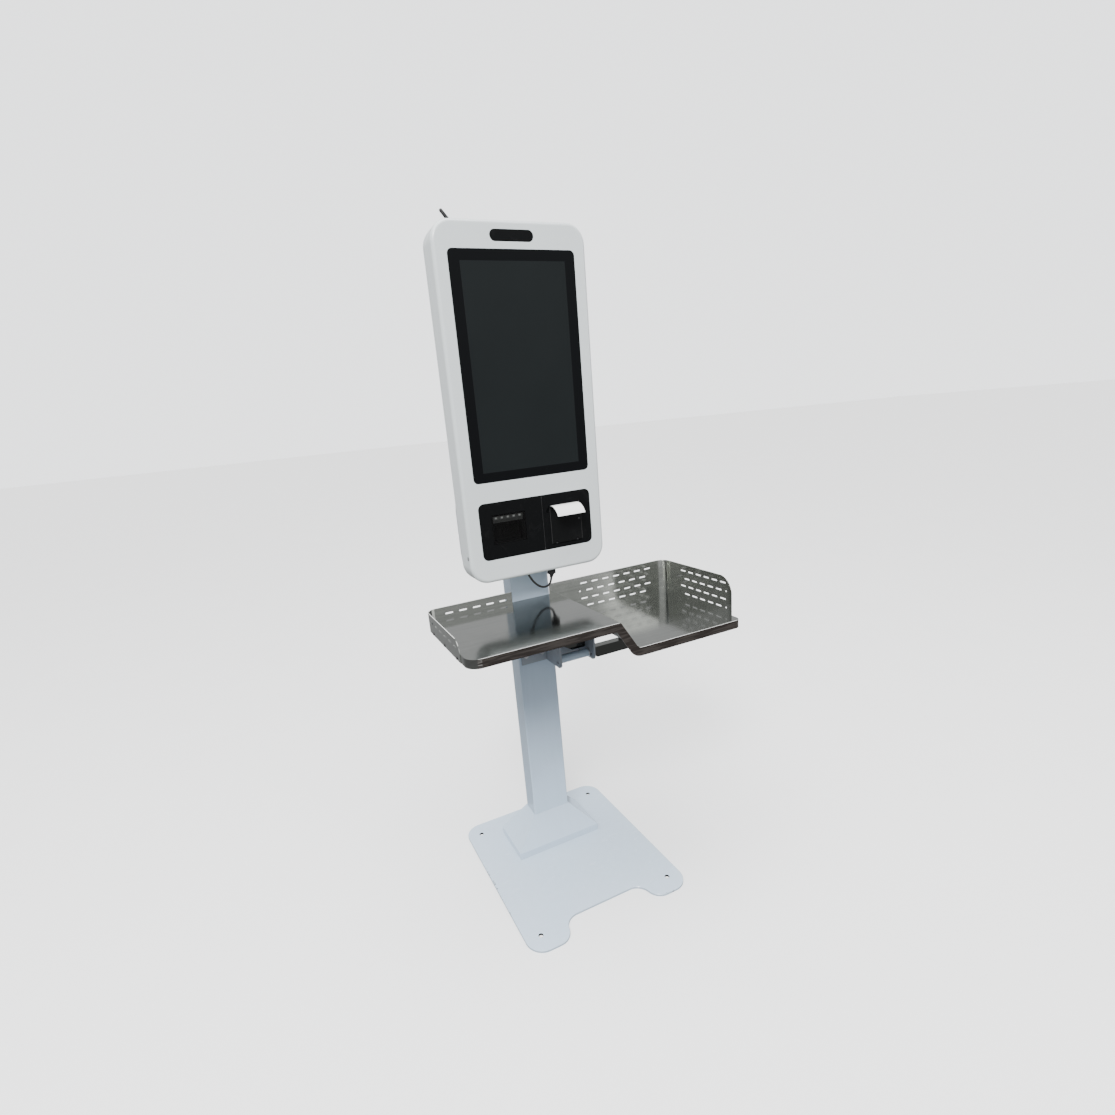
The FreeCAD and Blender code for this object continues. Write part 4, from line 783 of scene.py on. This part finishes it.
class KIOSK_OT_welds(bpy.types.Operator):
    """Adds the weld beads where the cross tube meets the bracket's arms."""
    bl_idname = "kiosk.welds"
    bl_label = "Weld beads"

    def execute(self, context):
        bead = context.scene.kiosk_sizes.weld
        low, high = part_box("bracket_tube")
        middle = (low + high) / 2
        ripple = bpy.data.textures.new("weld_ripple", "CLOUDS")
        ripple.noise_scale = 4.0 * mm
        for name, x in (("weld_left", low.x + bead), ("weld_right", high.x - bead)):
            deselect()
            bpy.ops.mesh.primitive_torus_add(major_radius=(high.z - low.z) / 2, minor_radius=bead,
                                             major_segments=72, minor_segments=10,
                                             rotation=(0, math.pi / 2, 0),
                                             location=(x, middle.y, middle.z))
            ring = settle(name)
            modify(ring, "DISPLACE", texture=ripple, strength=0.9 * bead, mid_level=0.5,
                   texture_coords="LOCAL")
            complete(ring, "zinc_steel", "stand", 60)
        return {"FINISHED"}


# The lead's centre line from its boot to the gland: x and z in millimetres.
LEAD_ROUTE = [(56.6, 861.0), (53.9, 846.6), (42.6, 837.3), (27.6, 837.2), (11.5, 846.6), (-4.6, 865.6),
              (-16.0, 889.7)]


class KIOSK_OT_lead(bpy.types.Operator):
    """Adds the short lead under the head, its ribbed boot and the grips of its plug."""
    bl_idname = "kiosk.lead"
    bl_label = "Lead"

    def execute(self, context):
        thick = context.scene.kiosk_sizes.lead
        plug_low, plug_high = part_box("data_plug")
        y = (plug_low.y + plug_high.y) / 2
        route = [Vector((x * mm, y, z * mm)) for x, z in LEAD_ROUTE]
        self.boot(route, plug_low.z, thick)
        data = bpy.data.curves.new("lead", "CURVE")
        data.dimensions = "3D"
        data.bevel_depth = thick / 2
        data.bevel_resolution = 6
        data.resolution_u = 16
        data.use_fill_caps = True
        spline = data.splines.new("NURBS")
        spline.points.add(len(route) - 1)
        for point, place in zip(spline.points, reversed(route)):
            point.co = (*place, 1.0)
        spline.order_u = 3
        spline.use_endpoint_u = True
        lead = bpy.data.objects.new("lead", data)
        context.scene.collection.objects.link(lead)
        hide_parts("data_cord")
        complete(lead, "cord_black", "stand")
        self.grips(plug_low, plug_high)
        return {"FINISHED"}

    def boot(self, route, top_z, thick):
        """A tapered sleeve with ribs, grown by extruding its upper face, and a collar at its top."""
        first_r, last_r, collar_r = thick / 2 + 1.1 * mm, 6.6 * mm, 7.4 * mm
        base_h, collar_h, overlap, groove = 0.8 * mm, 2.5 * mm, 1.0 * mm, 0.9 * mm
        bands = 10  # a groove and a rib in turn
        start = route[0]
        axis = (route[0] - route[1]).normalized()
        length = (top_z - collar_h - start.z) / axis.z + overlap
        boot = start_rod("lead_boot", first_r, base_h, (0, 0, base_h / 2), 28)
        pick(boot, "FACE", lambda face: face.normal.z > 0.9)
        step = (length - base_h) / bands
        radius = first_r
        for k in range(bands):
            grown = first_r + (last_r - first_r) * (k + 1) / bands
            target = grown if k % 2 else grown - groove
            bpy.ops.mesh.extrude_region_move(TRANSFORM_OT_translate={"value": (0, 0, step * 0.15)})
            bpy.ops.transform.resize(value=(target / radius, target / radius, 1))
            bpy.ops.mesh.extrude_region_move(TRANSFORM_OT_translate={"value": (0, 0, step * 0.85)})
            radius = target
        bpy.ops.object.mode_set(mode="OBJECT")
        aim(boot, start, axis)
        low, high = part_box("strain_relief")
        collar_x = (low.x + high.x) / 2 + 0.4 * mm
        collar = start_rod("boot_collar", collar_r, collar_h, (collar_x, start.y, top_z - collar_h / 2), 40)
        modify(collar, "BEVEL", width=0.6 * mm, segments=3, limit_method="ANGLE")
        whole = join("lead_boot", [boot, collar])
        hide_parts("strain_relief")
        return complete(whole, "cord_black", "stand", 40)

    def grips(self, low, high):
        """Raised finger ridges on both wide faces of the plug."""
        first, pitch, height = 4.5 * mm, 3.2 * mm, 1.5 * mm
        sunk, proud, side = 0.6 * mm, 0.7 * mm, 4.0 * mm
        model = start_block("ridge", (low.x + side, 0, 0), (high.x - side, sunk + proud, height))
        modify(model, "BEVEL", width=0.45 * mm, segments=3, limit_method="NONE")
        ridges = []
        for y in (low.y - proud, high.y - sunk):
            for k in range(4):
                ridges.append(copy_of(model))
                ridges[-1].data.transform(Matrix.Translation((0, y, low.z + first + pitch * k)))
        bpy.data.objects.remove(model)
        complete(join("plug_grips", ridges), "black_matte", "stand")


class KIOSK_OT_stage(bpy.types.Operator):
    """Adds the pale floor, the soft lights and the camera."""
    bl_idname = "kiosk.stage"
    bl_label = "Studio"

    def execute(self, context):
        deselect()
        bpy.ops.mesh.primitive_plane_add(size=120, location=(0, 0, cad_box[0].z))
        floor = settle("floor")
        coat = Finish("floor_coat", Roughness=0.62)
        tone = coat.noise(3.0, 3.0)
        coat.set("Base Color", coat.blend(tone, (0.86, 0.86, 0.86), (0.89, 0.89, 0.89)))
        floor.data.materials.append(coat.material)
        floor.visible_diffuse = False
        floor.visible_glossy = False
        self.surroundings(context, seen=2.4, low_light=0.34, high_light=1.05)
        target = (cad_box[0] + cad_box[1]) / 2
        self.lamp("key_light", (-2.2, -3.0, 4.2), target, size=1.6, power=300)
        self.lamp("fill_light", (2.8, -2.2, 1.9), target, size=2.2, power=20)
        self.ceiling(context, strength=5.0)
        self.camera(context)
        return {"FINISHED"}

    def surroundings(self, context, seen, low_light, high_light):
        """A plain room: evenly bright where it is seen directly. As light, it is dim below and brighter
        above."""
        world = bpy.data.worlds.new("studio")
        world.use_nodes = True
        room = NodeTree(world.node_tree)
        down, up = -0.35, 0.45
        height = room.split(room.node("ShaderNodeTexCoord", {}, {}, "Generated"))[2]
        light = room.node("ShaderNodeMapRange", {}, {"Value": height, "From Min": down, "From Max": up,
                                                     "To Min": low_light, "To Max": high_light})
        direct = room.node("ShaderNodeLightPath", {}, {}, "Is Camera Ray")
        level = room.node("ShaderNodeMapRange", {}, {"Value": direct, "To Min": light, "To Max": seen})
        back = room.tree.nodes["Background"]
        room.feed(back.inputs["Color"], (0.97, 0.985, 1.0))
        room.feed(back.inputs["Strength"], level)
        context.scene.world = world

    def ceiling(self, context, strength):
        """Even light from overhead, soft as from a lit ceiling."""
        data = bpy.data.lights.new("ceiling_light", "SUN")
        data.energy = strength
        data.angle = math.radians(64)
        lamp = bpy.data.objects.new("ceiling_light", data)
        lamp.location = (0, 0, 5)
        lamp.rotation_euler = (math.radians(12), math.radians(-8), 0)
        context.scene.collection.objects.link(lamp)

    def lamp(self, name, place, target, size, power):
        data = bpy.data.lights.new(name, "AREA")
        data.shape = "DISK"
        data.size = size
        data.energy = power
        lamp = bpy.data.objects.new(name, data)
        lamp.location = place
        lamp.rotation_euler = (target - Vector(place)).to_track_quat("-Z", "Y").to_euler()
        bpy.context.scene.collection.objects.link(lamp)

    def camera(self, context):
        """Stands in front of the kiosk and to its left, and looks down to the right."""
        right = Vector((0.90716, -0.409831, -0.09539))
        down = Vector((-0.191336, -0.199853, -0.960963))
        ahead = Vector((0.374769, 0.889999, -0.259714))
        place = Vector((-0.62893, -1.36957, 1.29241))
        data = bpy.data.cameras.new("camera")
        data.sensor_width = 36.0
        data.lens = 18.886
        data.shift_x = 0.02934
        data.shift_y = 0.01869
        data.clip_end = 60.0
        camera = bpy.data.objects.new("camera", data)
        turn = Matrix((right, -down, -ahead)).transposed().to_4x4()
        camera.matrix_world = Matrix.Translation(place) @ turn
        context.scene.collection.objects.link(camera)
        context.scene.camera = camera


class KIOSK_PT_panel(bpy.types.Panel):
    """Lists the kiosk's colours, sizes and steps."""
    bl_label = "Kiosk"
    bl_space_type = "VIEW_3D"
    bl_region_type = "UI"
    bl_category = "Kiosk"

    def draw(self, context):
        for group in (context.scene.kiosk_colours, context.scene.kiosk_sizes):
            box = self.layout.box()
            for key in group.__annotations__:
                box.prop(group, key)
        for step in steps:
            self.layout.operator(step.bl_idname)


steps = [KIOSK_OT_stage, KIOSK_OT_finishes, KIOSK_OT_lead, KIOSK_OT_gaskets, KIOSK_OT_tear_bar,
         KIOSK_OT_screws, KIOSK_OT_welds]


def register():
    for cls in [KioskColours, KioskSizes, *steps, KIOSK_PT_panel]:
        bpy.utils.register_class(cls)
    bpy.types.Scene.kiosk_colours = bpy.props.PointerProperty(type=KioskColours)
    bpy.types.Scene.kiosk_sizes = bpy.props.PointerProperty(type=KioskSizes)


def unregister():
    del bpy.types.Scene.kiosk_sizes
    del bpy.types.Scene.kiosk_colours
    for cls in reversed([KioskColours, KioskSizes, *steps, KIOSK_PT_panel]):
        bpy.utils.unregister_class(cls)


def main():
    register()
    for step in steps:
        group, name = step.bl_idname.split(".")
        getattr(getattr(bpy.ops, group), name)()


if __name__ == "__main__":
    main()
